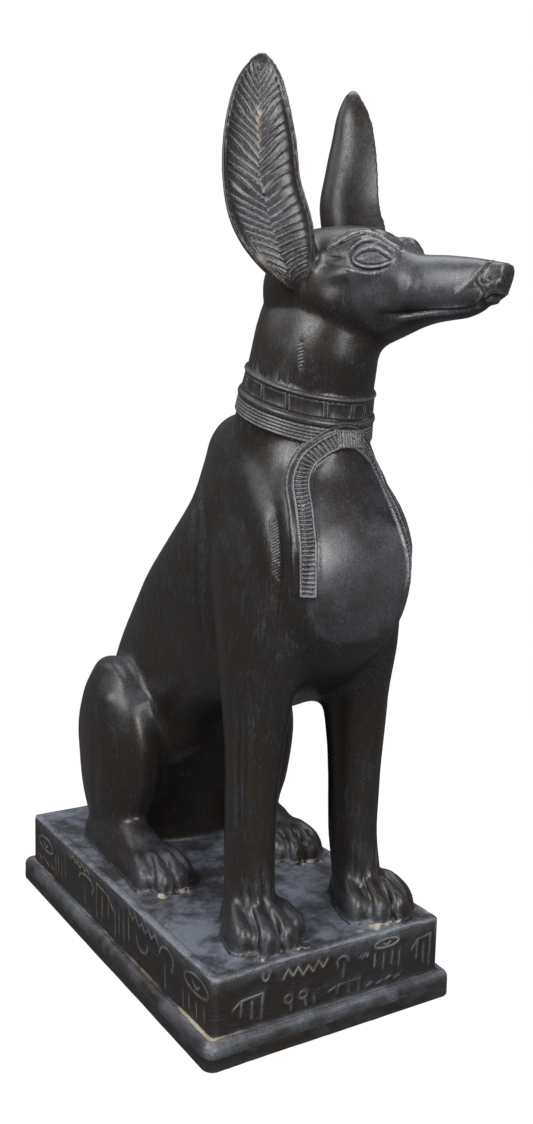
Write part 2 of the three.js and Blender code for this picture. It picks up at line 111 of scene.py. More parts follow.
def drift(points: Array, size: float, seed: int) -> Array:
    """Soft noise from -1 to 1: values drawn on a lattice and eased between its corners.

    Args:
        points: Places in mm.
        size: Side of a lattice cell in mm.
        seed: Which noise.

    Returns:
        One value for each point.
    """
    table = np.random.default_rng(seed).uniform(-1.0, 1.0, (32, 32, 32))
    cell = points / size
    low = np.floor(cell).astype(int)
    share = cell - low
    share = share * share * (3.0 - 2.0 * share)
    total = np.zeros(len(points))
    for corner in np.ndindex(2, 2, 2):
        weight = np.prod(np.where(corner, share, 1.0 - share), axis=1)
        index = (low + corner) % 32
        total += weight * table[index[:, 0], index[:, 1], index[:, 2]]
    return total


def near_line(points: Array, line: Any) -> tuple[Array, Array]:
    """How far points lie from a broken line, and where along it their nearest place is.

    On a span from a to b the nearest place is a + s (b - a), where
    s = (p - a).(b - a) / |b - a|^2 is kept between 0 and 1.

    Args:
        points: Rows of coordinates.
        line: Rows of corners, with as many coordinates.

    Returns:
        The distances, and the lengths along the line.
    """
    corners = np.asarray(line, float)
    best = np.full(len(points), np.inf)
    along = np.zeros(len(points))
    start = 0.0
    for a, b in zip(corners[:-1], corners[1:]):
        step = b - a
        length = float(np.linalg.norm(step))
        share = np.clip((points - a) @ step / length**2, 0.0, 1.0)
        gap = np.linalg.norm(points - a - share[:, None] * step, axis=1)
        closer = gap < best
        best = np.where(closer, gap, best)
        along = np.where(closer, start + share * length, along)
        start += length
    return best, along


def rounded(line: Any, steps: int = 30) -> Array:
    """The smooth curve through the corners of a line, as steps + 1 points."""
    return through(line, np.linspace(0.0, 1.0, steps + 1))


def eggs(
    centre: Array,
    across: Array,
    ahead: Array,
    half: Array,
    fore: Array,
    aft: Array,
    sides: int,
    square: Union[float, Array] = 1.0,
    rear: Union[float, Array, None] = None,
) -> Array:
    """Egg-shaped rings: p = centre + across half c + ahead reach s.

    c and s are the bent cosine and sine of the angle, and reach is fore where s > 0 and
    aft elsewhere.

    Args:
        centre: One row a ring.
        across: Way of the half width.
        ahead: Way of the fore reach, one for all rings or one row a ring.
        half: Half width of each ring.
        fore: Reach ahead of each ring.
        aft: Reach behind of each ring.
        sides: Points on a ring.
        square: Power of the superellipse, where 1 is an ellipse.
        rear: Power of the aft half, where it differs.

    Returns:
        An array of rings, sides and coordinates.
    """
    angle = np.linspace(0.0, 2 * math.pi, sides, endpoint=False)[None]
    fore_power, aft_power = (np.reshape(p, (-1, 1)) for p in (square, square if rear is None else rear))
    power = np.where(np.sin(angle) > 0, fore_power, aft_power)
    cosine, sine = signed_power(np.cos(angle), power), signed_power(np.sin(angle), power)
    reach = np.where(sine > 0, fore[:, None], aft[:, None]) * sine
    width = half[:, None] * cosine
    across, ahead = np.broadcast_to(across, centre.shape), np.broadcast_to(ahead, centre.shape)
    return centre[:, None] + across[:, None] * width[..., None] + ahead[:, None] * reach[..., None]


ACROSS = np.array([1.0, 0.0, 0.0])
AHEAD = np.array([0.0, -1.0, 0.0])
UP = np.array([0.0, 0.0, 1.0])
MIRROR = np.array([-1.0, 1.0, 1.0])


@dataclass
class Skin:
    """A closed skin of triangles: places in mm and the corners of each face."""

    points: Array
    faces: Array

    @classmethod
    def loft(cls, rings: Array) -> "Skin":
        """Joins rings of equal length, with a fan over each end and its faces out.

        Args:
            rings: An array of rings, sides and coordinates.

        Returns:
            The closed skin.
        """
        count, sides = rings.shape[:2]
        index = np.arange(count * sides).reshape(count, sides)
        here, there = index[:-1], index[1:]
        turned, far = np.roll(here, -1, 1), np.roll(there, -1, 1)
        walls = [np.stack([here, turned, far], -1), np.stack([here, far, there], -1)]
        hubs = rings[[0, -1]].mean(1)
        first, last = index[0], index[-1]
        low = np.stack([np.roll(first, -1), first, np.full(sides, count * sides)], -1)
        high = np.stack([last, np.roll(last, -1), np.full(sides, count * sides + 1)], -1)
        faces = np.vstack([wall.reshape(-1, 3) for wall in walls] + [low, high])
        skin = cls(np.vstack([rings.reshape(-1, 3), hubs]), faces)
        a, b, c = (skin.points[faces[:, corner]] for corner in range(3))
        if np.einsum("ij,ij->", a, np.cross(b, c)) < 0:
            skin.faces = faces[:, ::-1]
        return skin

    def normals(self) -> Array:
        """The way out at each point: the sum of its faces' cross products, at unit length."""
        a, b, c = (self.points[self.faces[:, corner]] for corner in range(3))
        face = np.cross(b - a, c - a)
        corners = self.faces.T.ravel()
        total = np.stack(
            [np.bincount(corners, np.tile(face[:, axis], 3), len(self.points)) for axis in range(3)],
            axis=1,
        )
        return total / np.maximum(np.linalg.norm(total, axis=1, keepdims=True), 1e-12)

    def edges(self) -> Array:
        """Each edge once, as its two ends."""
        pairs = np.sort(self.faces[:, [[0, 1], [1, 2], [2, 0]]].reshape(-1, 2), axis=1)
        key = np.unique(pairs[:, 0] * len(self.points) + pairs[:, 1])
        return np.stack([key // len(self.points), key % len(self.points)], axis=1)

    def relax(self, weight: Array, rounds: int) -> None:
        """Evens the skin out: each round moves p by w (mean of its neighbours - p) / 2.

        Args:
            weight: How much each point gives way, from 0 to 1.
            rounds: How often.
        """
        edges = self.edges()
        edges = edges[(weight[edges] > 0).any(axis=1)]
        used, local = np.unique(edges, return_inverse=True)
        local = local.reshape(-1, 2)
        one, other = np.vstack([local, local[:, ::-1]]).T
        count = np.maximum(np.bincount(one, minlength=len(used)), 1)[:, None]
        give = 0.5 * weight[used][:, None]
        place = self.points[used]
        for _ in range(rounds):
            total = np.stack([np.bincount(one, place[other, axis], len(used)) for axis in range(3)], 1)
            place = place + give * (total / count - place)
        self.points[used] = place

    def spread(self, seed: Array, rings: int) -> Array:
        """Widens a mask by rings of neighbours, and lowers it by 1 / rings at each."""
        edges = self.edges()
        for _ in range(rings):
            wider = seed.copy()
            np.maximum.at(wider, edges[:, 0], seed[edges[:, 1]] - 1.0 / rings)
            np.maximum.at(wider, edges[:, 1], seed[edges[:, 0]] - 1.0 / rings)
            seed = wider
        return np.clip(seed, 0.0, 1.0)

    def even(self, values: Array, rounds: int) -> Array:
        """Evens values out over the neighbours of each point."""
        edges = self.edges()
        one, other = np.vstack([edges, edges[:, ::-1]]).T
        count = np.maximum(np.bincount(one, minlength=len(values)), 1)
        for _ in range(rounds):
            values = 0.5 * values + 0.5 * np.bincount(one, values[other], len(values)) / count
        return values

    def hollow(self) -> tuple[Array, Array]:
        """How hollow the skin is at each point: (mean of its neighbours - p).n in mm, and the
        mean length of its edges."""
        edges = self.edges()
        one, other = np.vstack([edges, edges[:, ::-1]]).T
        count = np.maximum(np.bincount(one, minlength=len(self.points)), 1)
        step = self.points[other] - self.points[one]
        mean = np.stack([np.bincount(one, step[:, axis], len(self.points)) for axis in range(3)], 1)
        length = np.bincount(one, np.linalg.norm(step, axis=1), len(self.points)) / count
        return np.einsum("ij,ij->i", mean / count[:, None], self.normals()), length

    def refine(self, chosen: Array) -> None:
        """Splits each chosen face into four, and its neighbours so that the skin stays closed.

        Each split edge gets a point at its middle. A face with three split edges makes four
        faces, one with two makes three, and one with one makes two.

        Args:
            chosen: True for each face to split.
        """
        size = len(self.points)
        pairs = np.sort(self.faces[:, [[0, 1], [1, 2], [2, 0]]].reshape(-1, 2), axis=1)
        unique, inverse = np.unique(pairs[:, 0] * size + pairs[:, 1], return_inverse=True)
        inverse = inverse.reshape(-1, 3)
        split = np.zeros(len(unique), bool)
        split[inverse[chosen].ravel()] = True
        number = np.where(split, np.cumsum(split) - 1 + size, -1)
        ends = np.stack([unique // size, unique % size], axis=1)[split]
        middles = number[inverse]
        count = (middles >= 0).sum(axis=1)
        made = [self.faces[count == 0]]
        a, b, c = self.faces[count == 3].T
        ab, bc, ca = middles[count == 3].T
        made += [np.stack(face, 1) for face in ((a, ab, ca), (ab, b, bc), (ca, bc, c), (ab, bc, ca))]
        one = count == 1
        a, b, c, ab, _, _ = self._turned(one, middles, np.argmax(middles[one] >= 0, axis=1))
        made += [np.stack(face, 1) for face in ((a, ab, c), (ab, b, c))]
        two = count == 2
        a, b, c, ab, bc, _ = self._turned(two, middles, (np.argmin(middles[two], axis=1) + 1) % 3)
        made += [np.stack(face, 1) for face in ((ab, b, bc), (a, ab, bc), (a, bc, c))]
        self.points = np.vstack([self.points, self.points[ends].mean(axis=1)])
        self.faces = np.vstack(made)

    def _turned(self, rows: Array, middles: Array, first: Array) -> Array:
        """Corners and edge middles of some faces, turned so that one given edge comes first."""
        turn = (first[:, None] + np.arange(3)) % 3
        corners = np.take_along_axis(self.faces[rows], turn, axis=1)
        return np.hstack([corners, np.take_along_axis(middles[rows], turn, axis=1)]).T

    def to_mesh(self, name: str) -> bpy.types.Mesh:
        """The skin as a Blender mesh in the part's frame: (p + standing place) in metres."""
        mesh = bpy.data.meshes.new(name)
        places = (self.points + STANDING) * MILLIMETRE
        count = len(self.faces)
        mesh.vertices.add(len(places))
        mesh.vertices.foreach_set("co", places.astype(np.float32).ravel())
        mesh.loops.add(3 * count)
        mesh.loops.foreach_set("vertex_index", self.faces.astype(np.int32).ravel())
        mesh.polygons.add(count)
        mesh.polygons.foreach_set("loop_start", np.arange(0, 3 * count, 3, dtype=np.int32))
        mesh.update(calc_edges=True)
        return mesh

    @classmethod
    def from_mesh(cls, mesh: bpy.types.Mesh) -> "Skin":
        """Reads a Blender mesh back into millimetres of the figure's frame."""
        places = np.empty(3 * len(mesh.vertices), np.float32)
        mesh.vertices.foreach_get("co", places)
        mesh.calc_loop_triangles()
        faces = np.empty(3 * len(mesh.loop_triangles), np.int32)
        mesh.loop_triangles.foreach_get("vertices", faces)
        points = places.reshape(-1, 3).astype(float) / MILLIMETRE - STANDING
        return cls(points, faces.reshape(-1, 3).astype(np.int64))


@dataclass
class Relief:
    """What the carving, the wear and the painted highlights add at each point of the skin."""

    points: Array
    normals: Array
    lift: Array = field(init=False)
    lime: Array = field(init=False)
    rub_and_highlight: Array = field(init=False)
    scratch: Array = field(init=False)

    def __post_init__(self) -> None:
        """Starts with nothing raised, no deposit and nothing rubbed or scratched."""
        self.lift, self.lime, self.rub_and_highlight, self.scratch = (np.zeros(len(self.points)) for _ in range(4))

    def near(self, line: Any, margin: float) -> Array:
        """The numbers of the points in the box round a line, widened by a margin."""
        corners = np.asarray(line, float)
        low, high = corners.min(axis=0) - margin, corners.max(axis=0) + margin
        return np.flatnonzero(((self.points > low) & (self.points < high)).all(axis=1))

    def ridge(self, line: Any, half: float, height: float, ends: float = 0.0) -> None:
        """Raises, or with a negative height cuts, a round ridge along a line on both sides.

        Args:
            line: Corners of the line on the figure's right side, where x is negative.
            half: Half width in mm.
            height: Height in mm.
            ends: Length in mm over which it fades at each end.
        """
        path = rounded(line)
        total = np.linalg.norm(np.diff(path, axis=0), axis=1).sum()
        for flip in (np.ones(3), MIRROR):
            mine = self.near(path * flip, half)
            distance, along = near_line(self.points[mine] * flip, path)
            fade = ease(np.minimum(along, total - along), 0.0, ends) if ends else 1.0
            self.lift[mine] += height * fade * hump(distance, half)

    def knob(self, centre: Sequence[float], half: float, height: float) -> None:
        """Raises a round knob, height cos^2 of the distance, on both sides."""
        for flip in (np.ones(3), MIRROR):
            self.lift += height * hump(np.linalg.norm(self.points - np.array(centre) * flip, axis=1), half)


@dataclass
class Plinth:
    """Slab with a rounded shoulder, and the block on it, off the figure's mid plane."""

    middle: float = -9.0
    block: tuple[float, float, float] = (175.0, 310.0, 37.0)
    ledge: float = 7.0
    slab_height: float = 18.0
    shoulder: float = 6.0
    foot: float = 1.5
    corner: float = 4.0
    slab_corner: float = 7.0
    edge: float = 1.5
    chip: float = 0.75
    dish_depth: float = 1.0
    dish_border: float = 6.0

    def _plate(
        self,
        half: tuple[float, float],
        corner: float,
        low: float,
        high: float,
        foot: float,
        shoulder: float,
    ) -> Skin:
        """A plate with round corners, a round foot edge and a round shoulder.

        Round each edge the inset is r (1 - cos q) and the drop r (1 - sin q), with q from 0 to
        a quarter turn.

        Args:
            half: Half sizes across and along.
            corner: Radius of the corners seen from above.
            low: Height of the underside.
            high: Height of the top.
            foot: Radius of the edge below.
            shoulder: Radius of the edge above.

        Returns:
            The closed plate.
        """
        quarter = np.linspace(0.0, math.pi / 2, 9)
        inset = np.concatenate([foot * (1 - np.cos(quarter))[::-1], shoulder * (1 - np.cos(quarter))])
        level = np.concatenate(
            [low + foot * (1 - np.sin(quarter))[::-1], high - shoulder * (1 - np.sin(quarter))]
        )
        turn = (np.arange(4)[:, None] + np.linspace(0.0, 1.0, 7)[None]).ravel() * math.pi / 2
        signs = np.repeat(np.array([[1, 1], [-1, 1], [-1, -1], [1, -1]]), 7, axis=0)
        hub = signs * (np.array(half) - corner)
        way = np.stack([np.cos(turn), np.sin(turn)], -1)
        flat = hub[None] + way[None] * (corner - inset)[:, None, None]
        rings = np.dstack([flat, np.broadcast_to(level[:, None], flat.shape[:2])])
        return Skin.loft(rings + np.array([self.middle, 0.0, 0.0]))

    def skins(self) -> list[Skin]:
        """The slab and the block that stands in it."""
        width, length, height = self.block
        low, top = -height - self.slab_height, -height
        slab = (width / 2 + self.ledge, length / 2 + self.ledge)
        block = (width / 2, length / 2)
        sunk = top - self.slab_height / 2
        return [
            self._plate(slab, self.slab_corner, low, top, self.foot, self.shoulder),
            self._plate(block, self.corner, sunk, 0.0, self.edge, self.edge),
        ]

    def inset(self, points: Array) -> Array:
        """How far inside the block's outline a place lies, seen from above."""
        across = self.block[0] / 2 - np.abs(points[:, 0] - self.middle)
        return np.minimum(across, self.block[1] / 2 - np.abs(points[:, 1]))

    def grain(self, points: Array) -> Array:
        """Wanted length of an edge in mm: fine along the edges and on the top's border."""
        inset = self.inset(points)
        border = (np.abs(inset - self.dish_border) < 2.0) & (np.abs(points[:, 2]) < 1.5)
        corner = (np.abs(inset) < 2.5) & (points[:, 2] > -2.5) & (points[:, 2] < 1.0)
        ledge = (np.abs(points[:, 2] + self.block[2]) < 3.0) & (inset < 2.0) & (inset > -8.0)
        return np.where(border | corner | ledge, 0.75, 9.0)

    def carve(self, relief: Relief) -> None:
        """Sinks the top, wears the edges wavy, leaves the pale line on the slab's ledge and paints a
        highlight along its front ledge.

        The top sinks by depth times a soft step over the border, and the faces get noise.

        Args:
            relief: The relief of the whole casting.
        """
        points, normals = relief.points, relief.normals
        x, y, z = points.T
        inset = self.inset(points)
        top = (np.abs(z) < 0.6) & (normals[:, 2] > 0.8)
        sunk = ease(inset, self.dish_border - 0.6, self.dish_border + 0.6)
        lumps = drift(points, 15.0, 3) + 0.5 * drift(points, 6.0, 4)
        near_paws = ease(-y, 118.0, 140.0) * ease(np.abs(x - 4.0), 70.0, 45.0)
        dish = -self.dish_depth * sunk + 0.22 * lumps + 0.7 * near_paws * (0.6 + lumps)
        relief.lift += np.where(top, dish, 0.0)
        wall = (z < -1.5) & (inset < 1.0)
        relief.lift += np.where(wall, 0.18 * drift(points, 24.0, 5) + 0.08 * drift(points, 5.0, 6), 0.0)
        rim = (np.abs(inset) < 3.0) & (z > -3.0) & (z < 0.8)
        nicks = 0.4 * np.clip(drift(points, 3.5, 8), 0.0, 1.0)
        chips = np.clip(drift(points, 9.0, 7) - 0.25, 0.0, 1.0) + nicks
        relief.lift -= np.where(rim & ~top, self.chip * chips, 0.0)
        slab_edge = (inset < -1.0) & (z > -46.0) & (z < -34.0)
        wave = drift(points, 18.0, 9) + 0.6 * drift(points, 7.0, 10)
        relief.lift += np.where(slab_edge, 0.75 * wave, 0.0)
        joint, _ = near_line(np.stack([inset, z + self.block[2]], -1), [(0.0, 0.0), (-1.6, 0.0)])
        relief.lift -= 0.8 * hump(joint, 1.7) * (inset < 1.8)
        bare = np.clip(0.65 + 0.55 * drift(points, 22.0, 11) + 0.35 * drift(points, 6.0, 12), 0.0, 1.0)
        corner = np.exp(-((x + 97.0) ** 2 + (y + 155.0) ** 2) / 900.0)
        face = np.where(y < -156.0, 0.15, 0.5)
        pale = (face + 0.6 * corner) * bare * hump(joint - 0.3, 1.2)
        relief.lime += pale * (inset < 1.0) * (z > -40.0)
        # Painted highlight: the slab's front ledge is made pale through the rubbed mask, as where light
        # falls on it.
        front = (y < -156.0) & (z > -39.5) & (inset < -0.3)
        relief.rub_and_highlight += np.where(front, 1.1 * bare, 0.0)
        side = (z < -1.0) & (np.abs(inset) < 1.5) & (z > -5.0)
        relief.rub_and_highlight += np.where(rim | side, 0.7, 0.0)
        relief.rub_and_highlight += np.where(slab_edge, 1.1 * ease(wave, -0.8, 0.6), 0.0)


class Stroke(Enum):
    """The kinds of scratched mark on the block. None of them is a letter."""

    ZIGZAG = "zigzag"
    BARS = "bars"
    LENS = "lens"
    CROOK = "crook"
    GATE = "gate"
    ARC = "arc"
    DROPS = "drops"
    DASHES = "dashes"

    def lines(self) -> list[Array]:
        """The mark as broken lines in a box from 0 to 1 both ways, with 0 at its foot."""
        turn = np.linspace(0.0, math.pi, 9)
        if self is Stroke.ZIGZAG:
            steps = np.arange(10)
            return [np.stack([steps / 9.0, 0.15 + 0.7 * (steps % 2) + 0.1 * np.sin(steps)], -1)]
        if self is Stroke.BARS:
            bars = ((0.05, 0.3, 0.7), (0.38, 0.1, 0.75), (0.7, 0.2, 0.7), (0.97, 0.0, 0.8))
            return [np.array([(x, y), (x + 0.02, y + high)]) for x, y, high in bars]
        if self is Stroke.LENS:
            upper = np.stack([(1 - np.cos(turn)) / 2, 0.5 + 0.48 * np.sin(turn)], -1)
            lower = np.stack([(1 - np.cos(turn)) / 2, 0.5 - 0.42 * np.sin(turn)], -1)
            return [upper, lower, np.array([(0.36, 0.55), (0.5, 0.3), (0.66, 0.6)])]
        if self is Stroke.CROOK:
            hook = np.stack([0.5 - 0.5 * np.cos(turn), 0.72 + 0.26 * np.sin(turn)], -1)
            return [hook, np.array([(0.62, 0.5), (0.55, 0.0)]), np.array([(0.05, 0.72), (0.1, 0.52)])]
        if self is Stroke.GATE:
            return [
                np.array([(0.0, 0.62), (0.25, 0.9), (0.95, 0.98)]),
                np.array([(0.28, 0.9), (0.26, 0.3)]),
                np.array([(0.6, 0.75), (0.6, 0.12)]),
                np.array([(0.93, 0.98), (0.9, 0.0)]),
            ]
        if self is Stroke.ARC:
            return [np.stack([0.5 + 0.5 * np.cos(turn), 0.9 - 0.8 * np.sin(turn)], -1)]
        if self is Stroke.DROPS:
            ring = np.linspace(0.0, 2 * math.pi, 11)
            sway, rise = 0.13 * np.sin(ring), 0.7 + 0.24 * np.cos(ring)
            drops = [np.stack([x + sway, rise], -1) for x in (0.15, 0.6)]
            return drops + [np.array([(x, 0.42), (x + 0.03, 0.0)]) for x in (0.2, 0.66, 0.93)]
        dashes = ((0.0, 0.3), (0.3, 0.15), (0.55, 0.4), (0.82, 0.2))
        return [np.array([(x, y), (x + 0.16, y + 0.3)]) for x, y in dashes]


Boxes = tuple[tuple[Stroke, float, float, float, float], ...]


@dataclass
class Marks:
    """Rows of shallow scratched marks on the block's faces, each a kind and a box on its face."""

    half: float = 0.62
    depth: float = 0.5
    front: Boxes = (
        (Stroke.ARC, -62.0, -9.5, 5.0, 5.0),
        (Stroke.ZIGZAG, -47.0, -13.0, 34.0, 8.0),
        (Stroke.CROOK, -6.0, -22.0, 9.0, 15.0),
        (Stroke.DASHES, 12.0, -14.0, 7.0, 6.0),
        (Stroke.LENS, 24.0, -10.5, 20.0, 6.5),
        (Stroke.BARS, 23.0, -25.0, 22.0, 12.0),
        (Stroke.GATE, 55.0, -31.0, 17.0, 22.0),
        (Stroke.GATE, -83.0, -33.0, 23.0, 17.0),
        (Stroke.DROPS, -46.0, -33.0, 24.0, 11.0),
        (Stroke.GATE, -12.0, -34.5, 26.0, 9.0),
        (Stroke.DASHES, 18.0, -34.5, 28.0, 5.0),
    )
    right: Boxes = (
        (Stroke.LENS, -149.0, -19.0, 31.0, 13.0),
        (Stroke.BARS, -146.0, -34.0, 30.0, 12.0),
        (Stroke.CROOK, -103.0, -34.0, 20.0, 28.0),
        (Stroke.ARC, -65.0, -27.0, 18.0, 9.0),
        (Stroke.ZIGZAG, -81.0, -11.0, 46.0, 6.5),
        (Stroke.BARS, -36.0, -34.0, 25.0, 26.0),
        (Stroke.GATE, -8.0, -33.0, 32.0, 26.0),
        (Stroke.CROOK, 27.0, -31.0, 28.0, 22.0),
        (Stroke.ZIGZAG, 35.0, -8.5, 42.0, 5.0),
        (Stroke.BARS, 82.0, -33.0, 22.0, 20.0),
        (Stroke.LENS, 110.0, -22.0, 32.0, 12.0),
        (Stroke.DASHES, 108.0, -33.0, 34.0, 7.0),
    )
    left: Boxes = (
        (Stroke.ZIGZAG, -140.0, -16.0, 44.0, 8.0),
        (Stroke.GATE, -80.0, -32.0, 30.0, 22.0),
        (Stroke.LENS, -30.0, -18.0, 30.0, 11.0),
        (Stroke.BARS, 20.0, -31.0, 28.0, 16.0),
        (Stroke.CROOK, 75.0, -32.0, 22.0, 24.0),
        (Stroke.ZIGZAG, 105.0, -24.0, 38.0, 7.0),
    )

    def strokes(self, plinth: Plinth) -> list[tuple[int, float, Array]]:
        """Every line of every mark on its face.

        Args:
            plinth: The plinth whose block is marked.

        Returns:
            For each line the axis square to its face, its place on that axis, and the line's
            places on the other two axes.
        """
        width, length, _ = plinth.block
        faces = (
            (self.front, 1, -length / 2),
            (self.right, 0, plinth.middle - width / 2),
            (self.left, 0, plinth.middle + width / 2),
        )
        return [
            (axis, place, np.array([a, b]) + line * np.array([wide, high]))
            for marks, axis, place in faces
            for kind, a, b, wide, high in marks
            for line in kind.lines()
        ]

    def _off(self, points: Array, plinth: Plinth) -> Array:
        """Each point's distance from the nearest scratched line, at most 9 mm."""
        best = np.full(len(points), 9.0)
        for axis, place, line in self.strokes(plinth):
            flat = [1 - axis, 2]
            low, high = line.min(axis=0) - 3.0, line.max(axis=0) + 3.0
            inside = (np.abs(points[:, axis] - place) < 1.6) & (points[:, flat] > low).all(axis=1)
            mine = np.flatnonzero(inside & (points[:, flat] < high).all(axis=1))
            if len(mine):
                distance, _ = near_line(points[mine][:, flat], line)
                best[mine] = np.minimum(distance, best[mine])
        return best

    def grain(self, points: Array, plinth: Plinth) -> Array:
        """Wanted length of an edge in mm, fine beside a scratched line."""
        return np.where(self._off(points, plinth) < 1.5, 0.42, 9.0)

    def carve(self, relief: Relief, plinth: Plinth) -> None:
        """Scratches the marks: depth times a round groove, uneven along its way.

        Args:
            relief: The relief of the whole casting.
            plinth: The plinth whose block is marked.
        """
        distance = self._off(relief.points, plinth)
        press = 0.75 + 0.35 * drift(relief.points, 4.0, 21)
        cut = press * hump(distance, self.half)
        relief.lift -= self.depth * cut
        relief.lift += 0.12 * hump(distance - 1.25, 0.6)
        low_row = (relief.points[:, 2] < -22.0) & (relief.points[:, 1] < -150.0)
        faint = np.where(low_row, 0.4, 0.85) * np.clip(0.8 + 0.5 * drift(relief.points, 11.0, 22), 0.3, 1.0)
        relief.scratch += faint * cut * (relief.points[:, 2] < -1.0)


def moved(line: Table, back: float, up: float) -> Table:
    """A line moved towards the rump and up."""
    return tuple((x, y + back, z + up) for x, y, z in line)


# Lines on the figure's right side, each from its upper end: the shoulder blade, the point of the
# shoulder, the hollow before it, the shin and the ribs.
BLADE = (
    (-42, -28, 283), (-49, -43.5, 264), (-51.4, -49.6, 242), (-51.2, -51.3, 220),
    (-49.7, -56.3, 198), (-46.8, -63.2, 172),
)
POINT = (
    (-43.7, -80, 308), (-45.5, -96, 295), (-47.2, -110, 281), (-48.4, -120, 267),
    (-48.6, -127, 248), (-48.4, -129, 226),
)
HOLLOW = (
    (-43.6, -126, 283), (-45.1, -130.6, 275), (-46.5, -135.8, 260), (-46.8, -138, 246), (-47, -137, 218),
)
SHIN = ((-56.8, -112.5, 156), (-56.7, -111.6, 133), (-56.3, -111, 111), (-55.9, -111, 60))
RIBS = (
    ((-47.6, -11.9, 251), (-50.5, -14.3, 238), (-51.2, -24.6, 225), (-51, -39.3, 211)),
    ((-45.9, 14.5, 239), (-49.5, 9.7, 225), (-50.8, -4.8, 210), (-50.4, -23.8, 197)),
    ((-46.5, 29.3, 222), (-49.8, 22.2, 209), (-50.2, 10.3, 193.5), (-49.7, -7.6, 180)),
    ((-47.1, 44.6, 200), (-49.1, 40.1, 186), (-49.9, 24.1, 174), (-49.7, 2.5, 163)),
)


@dataclass
class Body:
    """Trunk, forelegs, haunches and tail, and the ridges, furrows and knobs of the muscles.

    A row of muscles is a line, its half width, its height and how far its ends fade. A line of
    one place is a knob.
    """

    trunk: Table = (
        (-8, 48, 132, 92, 46, 0.9, 0.9),
        (20, 40, 144, 92, 52, 0.9, 0.9),
        (50, 24, 150, 88, 55, 0.9, 0.9),
        (85, 0, 151, 80, 55, 0.9, 0.9),
        (118, -36, 145, 68, 53, 0.85, 0.85),
        (150, -104, 129, 44, 51, 0.75, 0.75),
        (180, -144, 108, 14, 50, 0.62, 0.72),
        (212, -161, 79, -24, 51.5, 0.45, 0.68),
        (245, -162, 44, -54, 51, 0.42, 0.72),
        (275, -151, 19, -70, 49.5, 0.48, 0.9),
        (299, -141, 13, -78, 45.5, 0.76, 1),
        (318, -138, 6, -82, 42, 0.95, 1),
        (331, -134, -12, -84, 37, 1, 1),
        (338, -118, -38, -84, 26, 1, 1),
    )
    foreleg: Table = (
        (45, -108, -8, 18, 20, 17),
        (43, -105, 24, 16.5, 19, 17),
        (41.5, -102, 52, 16, 19.5, 18),
        (41, -102, 92, 17, 20, 19),
        (40, -102, 122, 18.5, 23, 21),
        (38.5, -100, 155, 20.5, 32, 27),
        (37, -97, 194, 21.5, 46, 38),
        (36, -91, 232, 21, 52, 46),
        (33, -84, 264, 19, 50, 46),
        (27, -80, 288, 16, 42, 38),
        (22, -78, 306, 12, 30, 28),
    )
    haunch: Table = (
        (60, 72, 4, 13, 40, 24),
        (60, 71, 25, 18, 42, 36),
        (59, 67, 42, 22.5, 44, 48),
        (58, 64, 62, 25.5, 46, 56),
        (58, 62, 90, 27, 46, 60),
        (58, 63, 116, 25, 40, 49),
        (59, 67, 131, 20, 32, 33),
        (60, 70, 142.5, 12.5, 21, 21),
        (60, 71, 148, 5, 9, 9),
    )
    tail: Table = (
        (0, 128, 60, 14),
        (5, 138, 32, 12),
        (20, 138, 10, 10),
        (42, 130, 7, 9.5),
        (60, 114, 7, 7.5),
        (68, 99, 6, 4),
    )
    muscles: tuple[tuple[Table, float, float, float], ...] = (
        (BLADE, 8.0, 2.4, 20.0),
        (moved(BLADE, 11, 0), 8.0, -2.2, 20.0),
        (POINT, 15.0, 2.6, 22.0),
        (HOLLOW, 6.5, -2.6, 22.0),
        *(
            row
            for rib in RIBS
            for row in ((rib, 4.5, 0.95, 14.0), (moved(rib, 7.5, 2.5), 5.0, -0.75, 14.0))
        ),
        (((-70, 84, 139), (-68, 62, 143), (-65, 46, 136), (-62, 36, 125)), 9.0, 1.2, 14.0),
        (((-77, 46, 122),), 8.0, 1.3, 0.0),
        (((-56.5, 28.0, 122),), 9.0, 1.4, 0.0),
        (((-52, -33, 150), (-50, -8, 132), (-46, 14, 112), (-40, 24, 92)), 10.0, -2.0, 18.0),
        (((-50.7, -130, 206), (-51.5, -128, 186), (-52, -126, 168)), 7.0, -0.9, 12.0),
        (SHIN, 3.2, -1.3, 16.0),
        (((-53.5, -120, 158), (-52.4, -119, 133), (-51, -117, 100), (-50, -116, 62)), 3.0, 0.7, 16.0),
        (((-47, -122, 160), (-45, -120, 130), (-44, -119, 92), (-44, -119, 56)), 4.0, 0.7, 16.0),
        (((-38.2, 28.8, 66), (-29.2, 13.8, 80), (-11.8, -5.6, 94)), 8.0, 1.4, 12.0),
        (((-84, 50, 96), (-85, 56, 70), (-80, 62, 44), (-76, 64, 26)), 10.0, -1.2, 16.0),
        (((0, 13, 290), (0, 60, 240), (0, 100, 190), (0, 135, 150), (0, 150, 95)), 9.0, -0.9, 20.0),
        (((-11, 15, 290), (-12, 62, 238), (-12, 102, 188), (-12, 134, 150)), 9.0, 0.8, 20.0),
    )

    def _leg(self, stations: Any, sides: int, steps: int) -> list[Skin]:
        """A leg of level rings and its mirror image, from rows of x, y, z, half, fore, aft."""
        at = through(stations, np.linspace(0.0, 1.0, steps + 1))
        rings = eggs(at[:, :3], ACROSS, AHEAD, at[:, 3], at[:, 4], at[:, 5], sides)
        return [Skin.loft(rings), Skin.loft(rings * MIRROR)]

    def _tail(self) -> Skin:
        """A round rope square to its path: across = along x up, and out = across x along."""
        t = np.linspace(0.0, 1.0, 41)
        at = through(self.tail, t)
        along = np.gradient(at[:, :3], axis=0)
        along /= np.linalg.norm(along, axis=1, keepdims=True)
        across = np.cross(along, UP)
        across /= np.linalg.norm(across, axis=1, keepdims=True)
        half = at[:, 3]
        return Skin.loft(eggs(at[:, :3], across, np.cross(across, along), half, half, half, 24))

